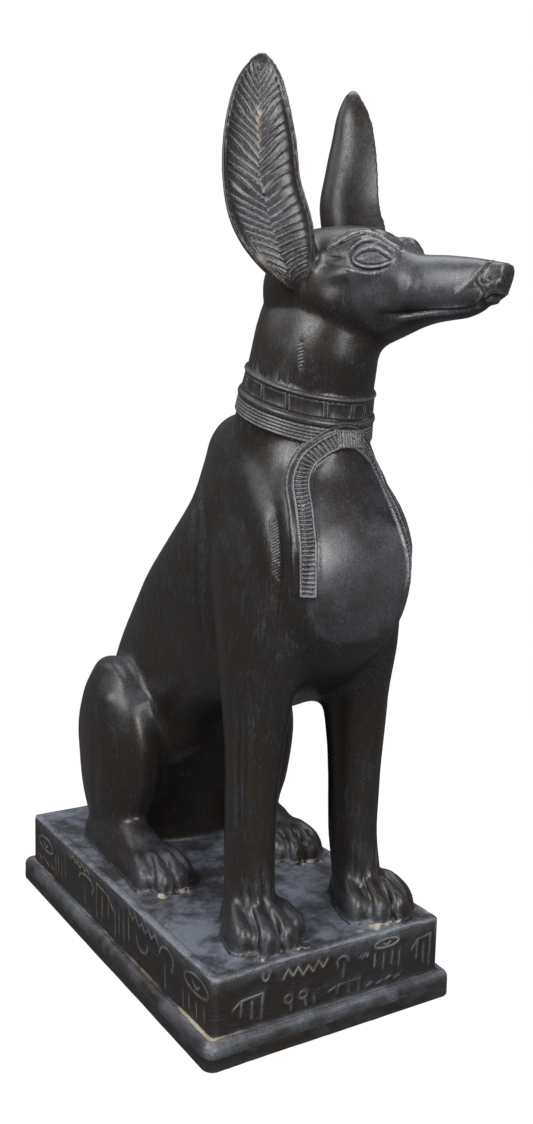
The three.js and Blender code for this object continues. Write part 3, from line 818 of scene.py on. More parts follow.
    def skins(self) -> list[Skin]:
        """The trunk of level rings, the legs and the tail."""
        at = through(self.trunk, np.linspace(0.0, 1.0, 81))
        z, front, back, widest, half, breast, rear = at.T
        centre = np.stack([np.zeros_like(z), widest, z], -1)
        trunk = eggs(centre, ACROSS, AHEAD, half, widest - front, back - widest, 96, breast, rear)
        legs = self._leg(self.foreleg, 48, 60) + self._leg(self.haunch, 64, 44)
        return [Skin.loft(trunk), self._tail(), *legs]

    def shape(self, relief: Relief) -> None:
        """Lays the muscles, ribs and folds on the softened forms, as broad ridges and furrows.

        Args:
            relief: The relief of the whole casting.
        """
        for line, half, height, ends in self.muscles:
            if len(line) == 1:
                relief.knob(line[0], half, height)
            else:
                relief.ridge(line, half, height, ends)


@dataclass
class Foot:
    """A low foot with four toes, set a little to the figure's left the further forward it is."""

    x: float
    toe_line: float
    spread: float
    toe: tuple[float, float, float, float]
    body: Table
    grooves: tuple[Table, ...]
    aside: float
    rooted: float = 8.0
    drift: float = 0.03
    toes: Table = ((-0.72, 10.0), (-0.27, 1.5), (0.27, 0.0), (0.72, 11.0))

    def middle(self, forward: Union[float, Array]) -> Union[float, Array]:
        """How far to the figure's left the middle of the pair of feet lies."""
        return self.aside + self.drift * forward

    def _rings(self, side: int, at: Array, sides: int, square: float) -> Array:
        """Upright rings from rows of place forward, place across, half width and top."""
        forward, across, half, top = at.T
        centre = np.stack([side * across + self.middle(forward), -forward, np.zeros_like(forward)], -1)
        return eggs(centre, ACROSS, UP, half, top, np.full_like(top, self.rooted), sides, square)

    def skins(self, side: int) -> list[Skin]:
        """The foot's body and its four toes, each of which rises over its knuckle.

        Args:
            side: 1 for the figure's left and -1 for its right.

        Returns:
            The closed forms.
        """
        body = np.array([(f, self.x, half, top) for f, top, half in self.body], float)
        made = [Skin.loft(self._rings(side, through(body, np.linspace(0.0, 1.0, 33)), 40, 0.85))]
        half, high, length, knuckle = self.toe
        for across, set_back in self.toes:
            tip, out = self.toe_line - set_back, self.spread * across
            stations = np.array(
                [
                    (tip - length, self.x + 0.75 * out, 0.6 * half, knuckle),
                    (tip - 0.6 * length, self.x + 0.9 * out, 0.85 * half, knuckle + 2.0),
                    (tip - 0.3 * length, self.x + out, half, high + 2.5),
                    (tip - 0.12 * length, self.x + out, 0.98 * half, 0.97 * high),
                    (tip - 0.03 * length, self.x + out, 0.82 * half, 0.74 * high),
                    (tip, self.x + out, 0.5 * half, 0.4 * high),
                ]
            )
            at = through(stations, np.linspace(0.0, 1.0, 29))
            made.append(Skin.loft(self._rings(side, at, 28, 1.0)))
        return made

    def grain(self, points: Array) -> Array:
        """Wanted length of an edge in mm, fine round the toes."""
        x, y, z = points.T
        forward = self.toe_line + y
        beside = np.abs(np.abs(x - self.middle(self.toe_line)) - self.x) < self.spread + 6.0
        inside = (forward > -4.0) & (forward < 52.0) & beside & (z > -1.5) & (z < 42.0)
        return np.where(inside, 0.62, 9.0)

    def carve(self, relief: Relief) -> None:
        """Cuts the long grooves that run up from between the toes, with pale deposit in them.

        Args:
            relief: The relief of the whole casting.
        """
        for line in self.grooves:
            path = rounded(line)
            for flip in (np.ones(3), MIRROR):
                shifted = path * flip + (2 * self.middle(self.toe_line) if flip[0] < 0 else 0.0) * ACROSS
                mine = relief.near(shifted, 7.0)
                distance, along = near_line(relief.points[mine], shifted)
                depth = 1.0 * ease(along, 0.0, 18.0) + 1.1 * ease(along, 16.0, 40.0)
                relief.lift[mine] -= depth * hump(distance, 2.6)
                relief.lift[mine] += 0.32 * depth * hump(distance - 4.4, 2.6)
                noise = np.clip(0.55 + 0.8 * drift(relief.points[mine], 5.0, 31), 0.0, 1.0)
                relief.lime[mine] += 0.8 * noise * hump(distance, 1.3) * ease(along, 6.0, 34.0)
                relief.rub_and_highlight[mine] += 0.7 * noise * hump(distance - 2.6, 1.8) * ease(along, 0.0, 16.0)
        x, y, z = relief.points.T
        forward = self.toe_line + y
        beside = np.abs(np.abs(x - self.middle(self.toe_line)) - self.x) < self.spread + 5.0
        ground = (z < 2.0) & (z > -1.6) & beside & (forward > -5.0) & (forward < 13.0)
        grains = drift(relief.points, 6.0, 32) + 0.9 * drift(relief.points, 2.2, 33)
        crust = 0.8 * ease(grains, -0.1, 0.8) * ease(np.abs(forward - 1.0), 9.0, 1.0)
        relief.lime += np.where(ground, crust, 0.0)


FORE_FOOT = Foot(
    x=44.5,
    aside=-2.0,
    toe_line=147.0,
    spread=27.0,
    toe=(7.9, 17.5, 33.0, 22.0),
    body=((82, 14, 8), (92, 22, 11.5), (112, 24, 15.5), (128, 16, 18), (138, 6, 16)),
    grooves=(
        ((-50, -119, 46), (-51.5, -119.5, 32), (-53.5, -126, 21), (-55.2, -136, 13), (-55.6, -142, 1)),
        ((-44, -121, 56), (-43, -121.5, 38), (-42.3, -126, 25), (-42.1, -137, 15), (-42.1, -146, 1)),
        ((-37, -119, 46), (-34.5, -120, 32), (-31, -126, 21), (-29.1, -136, 13), (-28.7, -142, 1)),
    ),
)
HIND_FOOT = Foot(
    x=56.0,
    aside=-6.0,
    toe_line=36.0,
    spread=22.0,
    toe=(7.2, 16.0, 38.0, 20.0),
    body=((-98, 12, 8), (-88, 26, 13), (-55, 34, 17), (-22, 31, 18.5), (2, 20, 19.5), (22, 9, 18)),
    grooves=(
        ((-66, 12, 32), (-68.5, 2, 28), (-70.3, -10, 21), (-71.4, -22, 13), (-71.8, -31, 1)),
        ((-61, 10, 34), (-61, 0, 30), (-60.9, -12, 23), (-60.9, -24, 14), (-60.9, -34.5, 1)),
        ((-56, 12, 32), (-53.5, 2, 28), (-51.4, -10, 21), (-50.3, -22, 13), (-50, -31, 1)),
    ),
)


@dataclass
class Neck:
    """Neck of leaning rings, with its collar: two round rims, framed panels and five ridges."""

    lean: float = math.radians(17.0)
    rings: Table = (
        (-84, 306, 43, 52, 52),
        (-89, 332, 42, 49, 48),
        (-96, 358, 39.5, 45, 45),
        (-102, 384, 35, 48, 47),
        (-106, 404, 28, 42, 45),
        (-107, 420, 17, 26, 31),
    )
    rim: tuple[float, float, float] = (357.6, 1.6, 1.9)
    panel: tuple[float, float, float] = (346.2, 355.0, 0.55)
    roll: tuple[float, float, float] = (341.8, 2.6, 2.3)
    ridges: tuple[float, float, int, float] = (339.2, 328.6, 5, 1.15)
    dividers: tuple[float, ...] = (-168, -138, -108, -80, -53, -20, 5, 20, 53, 80, 108, 138, 168)
    seam: Table = ((-28.2, -127.8, 378), (-28.5, -128.3, 371), (-28.1, -127.7, 362.5))
    axis: float = -96.0

    def skins(self) -> list[Skin]:
        """The neck as one form of leaning rings."""
        y, z, half, fore, aft = through(self.rings, np.linspace(0.0, 1.0, 41)).T
        ahead = np.array([0.0, -math.cos(self.lean), -math.sin(self.lean)])
        centre = np.stack([np.zeros_like(y), y, z], -1)
        return [Skin.loft(eggs(centre, ACROSS, ahead, half, fore, aft, 64))]

    def level(self, points: Array) -> Array:
        """Height on the neck's axis of the leaning ring through a place: z - (y - axis) tan lean."""
        return points[:, 2] - (points[:, 1] - self.axis) * math.tan(self.lean)

    def _collar(self, points: Array) -> Array:
        """True where the collar can lie."""
        level = self.level(points)
        round_neck = np.hypot(points[:, 0], (points[:, 1] + 90.0) * 0.85) < 58.0
        return (level > 325.0) & (level < 362.0) & round_neck

    def grain(self, points: Array) -> Array:
        """Wanted length of an edge in mm, fine on the collar."""
        return np.where(self._collar(points), 0.55, 9.0)

    def carve(self, relief: Relief) -> None:
        """Raises the collar as a profile of the level on the neck's axis.

        A rim is h sqrt(1 - (d / half)^2), the panel a flat step with thin raised frames, and
        each ridge h sin(pi w) over its own width.

        Args:
            relief: The relief of the whole casting.
        """
        mine = np.flatnonzero(self._collar(relief.points))
        points = relief.points[mine]
        level = self.level(points)
        height = np.zeros(len(mine))
        for middle, half, proud in (self.rim, self.roll):
            height = np.maximum(height, proud * np.sqrt(np.clip(1 - ((level - middle) / half) ** 2, 0, 1)))
        low, high, proud = self.panel
        flat = proud * ease(level, low - 1.4, low - 0.9) * ease(level, high + 1.2, high + 0.7)
        height = np.maximum(height, flat)
        angle = np.degrees(np.arctan2(points[:, 0], -(points[:, 1] - self.axis)))
        girth = np.hypot(points[:, 0], points[:, 1] - self.axis)
        gap = np.min(np.abs((angle[:, None] - np.array(self.dividers) + 180) % 360 - 180), axis=1)
        post = np.abs(np.radians(gap) * girth)
        framed = (level > low - 0.5) & (level < high + 0.5)
        frames = 0.5 * np.maximum(hump(level - low - 0.2, 0.6), hump(level - high + 0.2, 0.6))
        frames = np.where(post < 1.1, 0.0, frames)
        frames = np.maximum(frames, hump(post - 1.2, 0.55))
        frames = np.where(framed, 0.5 * frames, 0.0)
        height += frames
        top, bottom, count, proud = self.ridges
        share = (top - level) / (top - bottom) * count
        inside = (share > 0) & (share < count)
        waves = np.sin(math.pi * (share - np.floor(share)))
        height = np.maximum(height, np.where(inside, 0.35 + proud * waves**0.8, 0.0))
        relief.lift[mine] += height
        bare = np.clip(0.45 + 0.8 * drift(points, 16.0, 41), 0.0, 1.0)
        relief.lime[mine] += np.where(inside, 0.5 * bare * (1 - waves) ** 2, 0.0)
        relief.lime[mine] += 0.6 * bare * hump(level - self.roll[0] - self.roll[1] - 0.4, 1.1)
        relief.rub_and_highlight[mine] += 0.15 * (height > 0.2) + 0.8 * np.where(inside, waves**2, 0.0) + frames
        hatch(relief, self.seam, 1.9, 2.1, -0.5, 0.35)


def hatch(relief: Relief, line: Any, half: float, pitch: float, depth: float, slant: float) -> None:
    """Cuts a strip of short slanted strokes: depth cos^2 across each, one a pitch along.

    Args:
        relief: The relief of the whole casting.
        line: The strip's middle line on the figure's right side.
        half: Half width of the strip in mm.
        pitch: Room of a stroke along the strip in mm.
        depth: How deep, below 0, the strokes go.
        slant: How far a stroke climbs across the strip, as a share of its width.
    """
    path = rounded(line)
    close = relief.points[relief.near(path, half + 6.0)]
    path = np.array([close[np.argmin(np.linalg.norm(close - place, axis=1))] for place in path])
    path = rounded(path[::5])
    mine = relief.near(path, half + 2.0)
    points = relief.points[mine]
    distance, along = near_line(points, path)
    side = np.sign(points[:, 0] - np.interp(points[:, 2], path[::-1, 2], path[::-1, 0]))
    share = (along + slant * side * distance) / pitch
    stroke = hump(share - np.round(share), 0.32)
    inside = ease(distance, half, half - 0.5)
    relief.lift[mine] += depth * inside * stroke
    relief.rub_and_highlight[mine] += 0.5 * inside * (1.0 - stroke)


@dataclass
class BreastBand:
    """Ribbed band that hangs from the collar as a hoop on the breast, with a tab at its top."""

    path: Table = (
        (-38.6, 229.0),
        (-38.0, 245.0),
        (-37.0, 258.0),
        (-35.6, 270.0),
        (-33.2, 285.0),
        (-30.4, 296.5),
        (-24.0, 308.0),
        (-16.0, 315.0),
        (-8.0, 319.5),
        (0.0, 321.0),
    )
    half: float = 3.7
    rim: float = 1.6
    pitch: float = 2.7
    strip: float = 3.2
    upper_end: float = 332.0
    tab: tuple[float, float, float, float] = (-6.5, 14.5, 315.4, 326.6)
    second: Table = (
        (-46.1, -130.1, 271),
        (-47.1, -133.4, 260),
        (-47.4, -135.5, 248),
        (-47.4, -136.8, 238),
    )

    def on_breast(self, points: Array) -> Array:
        """The hoop's middle line laid on the skin: at each place its foremost point."""
        line = rounded(self.path, 48)
        placed = []
        front = points[self._within(points, -90, 60, 215)]
        for x, z in line:
            close = front[(np.abs(front[:, 0] - x) < 1.8) & (np.abs(front[:, 2] - z) < 1.8)]
            placed.append((x, close[:, 1].min() if len(close) else np.nan, z))
        placed = np.array(placed)
        known = ~np.isnan(placed[:, 1])
        placed[:, 1] = np.interp(np.arange(len(placed)), np.flatnonzero(known), placed[known, 1])
        placed[:, 1] = through(placed[::6, 1:2], np.linspace(0.0, 1.0, len(placed)))[:, 0]
        return placed

    def _within(self, points: Array, back: float, wide: float, low: float) -> Array:
        """True on the front of the breast below the collar, between limits."""
        x, y, z = points.T
        return (y < back) & (np.abs(x) < wide) & (z > low) & (z < self.upper_end)

    def _zone(self, points: Array) -> Array:
        """True where the hoop can lie."""
        return self._within(points, -112, 56, 220)

    def furrow(self, relief: Relief) -> None:
        """Lowers the breast along the hoop, so that what it frames swells between its arms."""
        line = self.on_breast(relief.points)
        relief.ridge(line[:-6], 9.0, -1.6, 10.0)
        relief.ridge(line[4:-14] + (-10.5, 4.0, 0.0), 12.0, 3.2, 16.0)
        x, y, z = relief.points.T
        swell = 5.0 * np.exp(-((x / 24.0) ** 2) - ((z - 262.0) / 36.0) ** 2)
        beside = np.exp(-(((np.abs(x) - 36.0) / 17.0) ** 2) - ((z - 254.0) / 28.0) ** 2)
        swell += np.where(x > 0, 2.2, 0.8) * beside
        relief.lift += np.where(y < -100.0, swell, 0.0)

    def grain(self, points: Array) -> Array:
        """Wanted length of an edge in mm, fine along the hoop and the second strip."""
        mine = np.flatnonzero(self._zone(points))
        wanted = np.full(len(points), 9.0)
        mirrored = points[mine] * np.where(points[mine, :1] > 0, MIRROR, 1.0)
        wanted[mine] = np.where(near_line(mirrored, self.on_breast(points)[::4])[0] < 12.0, 0.5, 9.0)
        for line in (self.second, Neck.seam):
            distance = near_line(points, rounded(line, 8))[0]
            wanted = np.where(distance < 4.0, 0.5, wanted)
        return wanted

    def carve(self, relief: Relief) -> None:
        """Raises the band by its profile across the hoop: rim, rungs, rim, smooth strip, edge.

        The way across is measured in the skin: r - n (n.r), with r from the nearest place on
        the middle line, and it is above 0 outside the hoop.

        Args:
            relief: The relief of the whole casting.
        """
        line = self.on_breast(relief.points)
        mine = np.flatnonzero(self._zone(relief.points))
        flip = np.where(relief.points[mine, :1] > 0, MIRROR, 1.0)
        points, normals = relief.points[mine] * flip, relief.normals[mine] * flip
        best, along = near_line(points, line)
        run = np.concatenate([[0.0], np.cumsum(np.linalg.norm(np.diff(line, axis=0), axis=1))])
        nearest = np.stack([np.interp(along, run, line[:, axis]) for axis in range(3)], -1)
        ways = np.gradient(line, axis=0)
        way = np.stack([np.interp(along, run, ways[:, axis]) for axis in range(3)], -1)
        way /= np.linalg.norm(way, axis=1, keepdims=True)
        offset = points - nearest
        offset -= normals * np.einsum("ij,ij->i", normals, offset)[:, None]
        outward = np.cross(normals, way)
        across = np.einsum("ij,ij->i", offset, outward)
        across *= np.sign(np.median(across[points[:, 0] < -46.0])) or 1.0
        across += np.where(relief.points[mine, 0] > 0, 3.5 * ease(points[:, 2], 304.0, 288.0), 0.0)
        past = np.einsum("ij,ij->i", offset, way)
        ends = ease(past, -1.6, -0.4)
        close = (best < 18.0) * ends
        rims = np.maximum(hump(across - self.half - 0.8, 1.15), hump(across + self.half + 0.8, 1.15))
        inside = ease(np.abs(across), self.half + 0.3, self.half - 0.3)
        share = along / self.pitch + 0.22 * drift(points, 7.0, 51) + 0.05 * across * ease(along, 40.0, 80.0)
        rung = hump(share - np.round(share), 0.36)
        foot = hump(along - 0.4, 1.4) * ease(np.abs(across), self.half + 1.6, self.half + 0.8)
        outer = self.half + 1.9
        edge = outer + self.strip
        strip = ease(across, outer - 0.6, outer) * ease(across, edge + 0.5, edge)
        lip = hump(across - outer - self.strip + 0.5, 0.8)
        flush = ease(along, 3.0, 34.0)
        side = (0.45 * strip + 0.4 * lip) * flush
        height = self.rim * rims + inside * (0.25 + 1.0 * rung) + side + 0.8 * foot * (1 - rims)
        height *= np.where(relief.points[mine, 0] > 0, ease(along, -1.0, 10.0), 1.0)
        width = ease(across, -self.half - 2.2, -self.half - 1.6) * ease(across, edge + 0.6, edge + 0.1)
        covered = close * width
        relief.lift[mine] = relief.lift[mine] * (1 - 0.9 * covered) + height * close
        bare = np.clip(0.5 + 0.7 * drift(points, 12.0, 52), 0.0, 1.0)
        worn = 1.1 * rims + inside * (0.15 + 0.55 * rung) + flush * (0.1 * strip + 0.6 * lip)
        relief.rub_and_highlight[mine] = relief.rub_and_highlight[mine] * (1 - covered) + close * worn
        crust = close * 0.4 * bare * hump(np.abs(across) - self.half + 0.3, 0.8)
        relief.lime[mine] = relief.lime[mine] * (1 - covered) + crust
        self._tab(relief)
        hatch(relief, self.second, 2.7, 1.9, -0.8, 0.45)

    def _tab(self, relief: Relief) -> None:
        """Raises the oblong tab under the collar, upright strokes within double posts."""
        left, right, low, high = self.tab
        x, y, z = relief.points.T
        beside = (x > left - 1) & (x < right + 1) & (z > low - 1) & (z < high + 1)
        mine = np.flatnonzero((y < -118) & beside)
        x, z = x[mine], z[mine]
        inset = np.minimum(np.minimum(x - left, right - x), np.minimum(z - low, high - z))
        inside = ease(inset, -0.3, 0.4)
        share = x / 1.9
        stroke = hump(share - np.round(share), 0.3) * (z > low + 1.6) * (z < high - 1.0)
        post = hump(np.minimum(x - left, right - x) - 2.3, 0.6)
        lift = 1.9 - 0.8 * stroke * (1 - post) - 0.5 * post
        relief.lift[mine] = relief.lift[mine] * (1 - inside) + lift * inside
        relief.rub_and_highlight[mine] = relief.rub_and_highlight[mine] * (1 - inside) + inside * (0.8 - 0.5 * stroke)
        crumbs = 0.5 + 0.5 * drift(relief.points[mine], 3.0, 53)
        relief.lime[mine] += 0.8 * hump(z - low - 1.2, 1.0) * inside * crumbs


# The brow's lower groove, the ridge between and the upper groove, each forward and up.
BROWS = (
    (
        (31.4, 431.9), (37, 434.4), (43.2, 436.5), (48.2, 439.2), (54.8, 440.6), (60.2, 439.4),
        (66.6, 435.5), (74.5, 430.2),
    ),
    (
        (31, 433.2), (37, 435.7), (41.5, 438.5), (46, 441.2), (52.7, 442.2), (60.8, 440.1),
        (65.4, 437), (73.2, 431.4),
    ),
    (
        (30.1, 434.9), (36.1, 437.4), (39.9, 440.8), (43.7, 443.4), (48.2, 444.4), (52.8, 444.2),
        (61.5, 441.2), (64.2, 438.9),
    ),
)


@dataclass
class Head:
    """Head turned to its left on the neck, with its jaw, eyes, mouth and ears.

    The lids, the fold above them, the brow and the mouth are lines of places forward and up in
    the head's own frame. A face line is followed by its half width, height, rub and fade.
    """

    pivot: float = -97.0
    turn: float = math.radians(19.5)
    square: float = 0.9
    skull: Table = (
        (-30, 424, 398, 412, 12),
        (-21, 436, 388, 413, 24),
        (0, 449, 380, 413, 33),
        (26, 450.5, 377, 413, 35),
        (48, 447.5, 380, 415, 33.5),
        (64, 440, 387, 414, 29),
        (80, 431, 392, 411, 22),
        (98, 428.5, 395, 408, 16.5),
        (115, 426, 397, 408, 13.5),
        (127, 423.5, 399.8, 410, 11),
        (132.5, 422.3, 405.5, 414, 8.8),
        (135.6, 422, 414.5, 418, 7),
    )
    jaw: Table = (
        (20, 410, 377, 394, 22),
        (42, 409, 375, 394, 20.5),
        (60, 408, 381, 394, 17.5),
        (80, 406, 388.5, 396, 14.5),
        (98, 405, 392, 398, 12),
        (110, 405, 393.2, 399, 10.5),
        (121, 405, 396.8, 400.5, 8),
    )
    facing: float = math.radians(47.0)
    ear_rim: float = 2.6
    ear: Table = (
        (35, 14, 409, 4, 9, 0.4),
        (45, 14.5, 420, 15, 22, 2),
        (53, 13.5, 434, 22, 31, 6),
        (57.5, 10, 450, 24.5, 37, 9),
        (58.2, 3.5, 472, 23.1, 35.4, 10),
        (58.3, 1.6, 494, 21.6, 30.7, 9),
        (57.5, 0, 514, 17.9, 25.3, 7),
        (54.4, -2.4, 530, 13.1, 18.6, 4),
        (50.2, -5, 541, 6.6, 9.5, 1),
        (48.3, -6.7, 546, 1.8, 2.6, 0.2),
    )
    barbs: tuple[float, ...] = (
        413, 415.5, 418.5, 422, 426.5, 431, 436, 441, 446.5, 452, 457.5, 463, 469, 475.5,
        482, 488.5, 494.5, 500, 505, 510, 515, 520, 525, 530, 535, 540, 545, 550, 555, 560,
    )
    eye: tuple[float, float] = (62.2, 426.3)
    upper_lid: Table = (
        (-10.0, -0.2), (-6.4, 2.0), (-3.6, 3.2), (-0.4, 3.8), (2.9, 3.1), (6.5, 1.0), (10.0, -1.0),
    )
    lower_lid: Table = (
        (-10.0, -0.2), (-7.2, -2.2), (-3.4, -3.7), (0.1, -4.2), (4.5, -3.8), (7.8, -2.6), (10.0, -1.0),
    )
    fold: Table = (
        (47.5, 427.6), (50.3, 431.2), (53.6, 433.8), (57.2, 435.1), (61.4, 435.1), (67.6, 432.8),
        (73.0, 427.8),
    )
    face_lines: tuple[tuple[Table, float, float, float, float], ...] = (
        (((50.8, 423.0), (55.4, 420.4), (61.3, 419.2), (67.2, 419.7), (72.4, 421.8)), 1.0, -0.8, 0.0, 4.0),
        (((45.0, 421.5), (54.4, 418.4), (61.5, 417.2), (69.0, 418.0)), 1.3, 0.5, 0.6, 6.0),
        (BROWS[0], 1.2, -2.0, 0.0, 5.0),
        (BROWS[1], 1.1, 1.1, 1.5, 5.0),
        (BROWS[2], 1.1, -1.6, 0.0, 5.0),
        (((28, 437.0), (35, 439.8), (40, 443.4), (48.2, 446.3)), 1.1, 0.6, 0.8, 7.0),
        (((32.1, 428.2), (39.8, 427.3), (47.8, 426.6)), 1.3, -0.6, 0.0, 7.0),
        (((31.0, 425.0), (38.0, 424.2), (45.0, 424.0)), 1.5, 0.4, 0.2, 7.0),
    )
    mouth: Table = (
        (62, 393.5), (67.5, 394.9), (75, 394.5), (84.7, 395.5), (92, 396), (108.8, 396.1), (116.7, 397),
        (123, 399.4), (131, 403.5),
    )

    nostril: tuple[tuple[Table, float, float], ...] = (
        (
            ((127.2, 420.9), (124.6, 416.5), (124.2, 412.2), (126.3, 410.2), (129.3, 411.4), (133.5, 413.4)),
            1.1,
            -0.8,
        ),
        (((122.5, 415), (121.7, 410), (124.2, 407.3), (125.6, 403.4), (122, 399.5)), 1.2, -0.7),
        (((127.0, 422.0), (122.5, 417.2), (118.0, 411.0), (110.5, 405.5)), 1.8, 0.6),
    )

    def place(self, left: Array, forward: Array, up: Array) -> Array:
        """A place in the head's own frame, turned about the neck's axis."""
        cos, sin = math.cos(self.turn), math.sin(self.turn)
        return np.stack([left * cos + forward * sin, self.pivot + left * sin - forward * cos, up], -1)

    def own(self, points: Array) -> Array:
        """Places left, forward and up in the head's own frame."""
        cos, sin = math.cos(self.turn), math.sin(self.turn)
        x, y = points[:, 0], points[:, 1] - self.pivot
        return np.stack([x * cos + y * sin, x * sin - y * cos, points[:, 2]], -1)

    def _rings(self, stations: Any, sides: int, steps: int) -> Array:
        """Upright rings along the head, each between its top and its underside."""
        f, top, low, widest, half = through(stations, np.linspace(0.0, 1.0, steps + 1)).T
        centre = self.place(np.zeros_like(f), f, widest)
        across = np.array([math.cos(self.turn), math.sin(self.turn), 0.0])
        square = np.interp(f, (108.0, 128.0), (self.square, 0.62))
        return eggs(centre, across, UP, half, top - widest, widest - low, sides, square)

    def _ear(self, side: int) -> Array:
        """An ear as crescents: outside deep sin^0.9, inside hollow (0.12 + 0.88 sin).

        Args:
            side: 1 for the figure's left and -1 for its right.

        Returns:
            The rings.
        """
        s, f, z, half, deep, hollow = through(self.ear, np.linspace(0.0, 1.0, 73)).T[:, :, None]
        outer, inner = np.linspace(0.0, math.pi, 41)[None], np.linspace(math.pi, 0.0, 25)[None]
        rim = np.minimum(self.ear_rim, half / 3)
        along = np.hstack([-half * np.cos(outer), (rim - half) * np.cos(inner)])
        back = np.hstack([deep * np.sin(outer) ** 0.9, hollow * (0.12 + 0.88 * np.sin(inner))])
        cos, sin = math.cos(self.facing), math.sin(self.facing)
        left = side * (s - along * cos - back * sin)
        return self.place(left, f + along * sin - back * cos, z + np.zeros_like(along))

    def skins(self) -> list[Skin]:
        """Skull, jaw and ears."""
        return [
            Skin.loft(self._rings(self.skull, 72, 70)),
            Skin.loft(self._rings(self.jaw, 48, 50)),
            Skin.loft(self._ear(1)),
            Skin.loft(self._ear(-1)),
        ]

    def bowl(self, points: Array, normals: Array, side: int) -> tuple[Array, Array, Array]:
        """Where an ear's hollow side lies.

        With L to the side and F forward of the ear's middle line, along = F sin - L cos and
        back = -L sin - F cos of the facing angle.

        Args:
            points: Places in the figure's frame.
            normals: The ways out at them.
            side: 1 for the figure's left and -1 for its right.

        Returns:
            True inside the hollow, the share from rim to rim, and the half width there.
        """
        left, forward, up = self.own(points).T
        s, f, _, half, _, hollow = through(self.ear, place_of(self.ear, 2, up)).T
        cos, sin = math.cos(self.facing), math.sin(self.facing)
        along = (forward - f) * sin - (side * left - s) * cos
        back = -(side * left - s) * sin - (forward - f) * cos
        behind = self.place(-side * sin, -cos, 0.0) - self.place(0.0, 0.0, 0.0)
        behind[2] = 0.0
        faces = normals @ behind < 0.2
        sunk = (back > -6) & (back < hollow + 2.5) & (np.abs(along) < half + 0.5)
        inside = faces & (up > 409) & (up < 545) & sunk & (side * left > 22)
        return inside, along / np.maximum(half - 1.2, 1.0), half

    def grain(self, points: Array) -> Array:
        """Wanted length of an edge in mm, fine on the ears' hollows, the eyes and the mouth."""
        left, forward, up = self.own(points).T
        ears = (np.abs(left) > 26) & (up > 408) & (forward < 34) & (forward > -22)
        eyes = (np.abs(left) > 10) & (forward > 22) & (forward < 84) & (up > 416) & (up < 446)
        muzzle = (forward > 54) & (up > 388) & (up < 416)
        return np.where(eyes, 0.4, np.where(ears, 0.6, np.where(muzzle, 0.7, 9.0)))

    def _line(
        self, relief: Relief, path: Any, half: float, height: float, rub_and_highlight: float, ends: float
    ) -> None:
        """Raises or cuts a line given by places forward and up, on both sides of the head.

        Args:
            relief: The relief of the whole casting.
            path: Corners of the line.
            half: Half width in mm.
            height: Height in mm, below 0 for a groove.
            rub_and_highlight: How pale it is rubbed.
            ends: Length in mm over which it fades at each end.
        """
        line = rounded(path)
        total = np.linalg.norm(np.diff(line, axis=0), axis=1).sum()
        own = self.own(relief.points)
        low, high = line.min(axis=0) - half, line.max(axis=0) + half
        flat = own[:, 1:]
        beside = np.abs(own[:, 0]) > 2.5
        mine = np.flatnonzero((flat > low).all(axis=1) & (flat < high).all(axis=1) & beside)
        distance, along = near_line(flat[mine], line)
        fade = ease(np.minimum(along, total - along), 0.0, ends) if ends else 1.0
        relief.lift[mine] += height * fade * hump(distance, half)
        relief.rub_and_highlight[mine] += rub_and_highlight * fade * hump(distance, half)

    def shape(self, relief: Relief) -> None:
        """Swells the cheeks, lids and brows and hollows the face below the eyes.

        Args:
            relief: The relief of the whole casting.
        """
        left, forward, up = self.own(relief.points).T
        onside = ease(np.abs(left), 8.0, 18.0)
        for f, z, wide, high, height in (
            (42.0, 398.0, 14.0, 11.0, 1.4),
            (37.0, 401.0, 8.0, 7.0, 1.6),
            (46.0, 417.5, 13.0, 5.0, 1.3),
            (24.0, 408.0, 12.0, 12.0, 0.8),
            (62.0, 409.0, 12.0, 9.0, -2.0),
            (33.0, 424.0, 12.0, 5.0, -1.2),
            (84.0, 405.0, 16.0, 9.0, 0.9),
        ):
            spot = np.exp(-(((forward - f) / wide) ** 2) - ((up - z) / high) ** 2)
            relief.lift += height * onside * spot * (up > 380)
        lid = 1 - ((forward - 62.2) / 12.5) ** 2 - ((up - 426.8) / 7.4) ** 2
        relief.lift += 2.0 * onside * np.sqrt(np.clip(lid, 0.0, 1.0))
        brow = np.exp(-(((forward - 62.0) / 13.0) ** 2) - ((up - 439.0) / 6.0) ** 2)
        relief.lift += 4.6 * ease(np.abs(left), 9.0, 16.0) * brow * ease(forward, 76.0, 70.0)
        bridge = np.exp(-(((forward - 68.0) / 16.0) ** 2) - (left / 8.0) ** 2)
        relief.lift -= 1.4 * bridge * (up > 425.0)
        self._line(relief, ((78, 422), (83.5, 416), (84.5, 409), (80, 402), (70, 396)), 7.0, 1.7, 0.0, 16.0)
        self._line(relief, ((66, 416), (71.5, 410), (71, 404), (65, 397)), 7.0, -1.8, 0.0, 10.0)

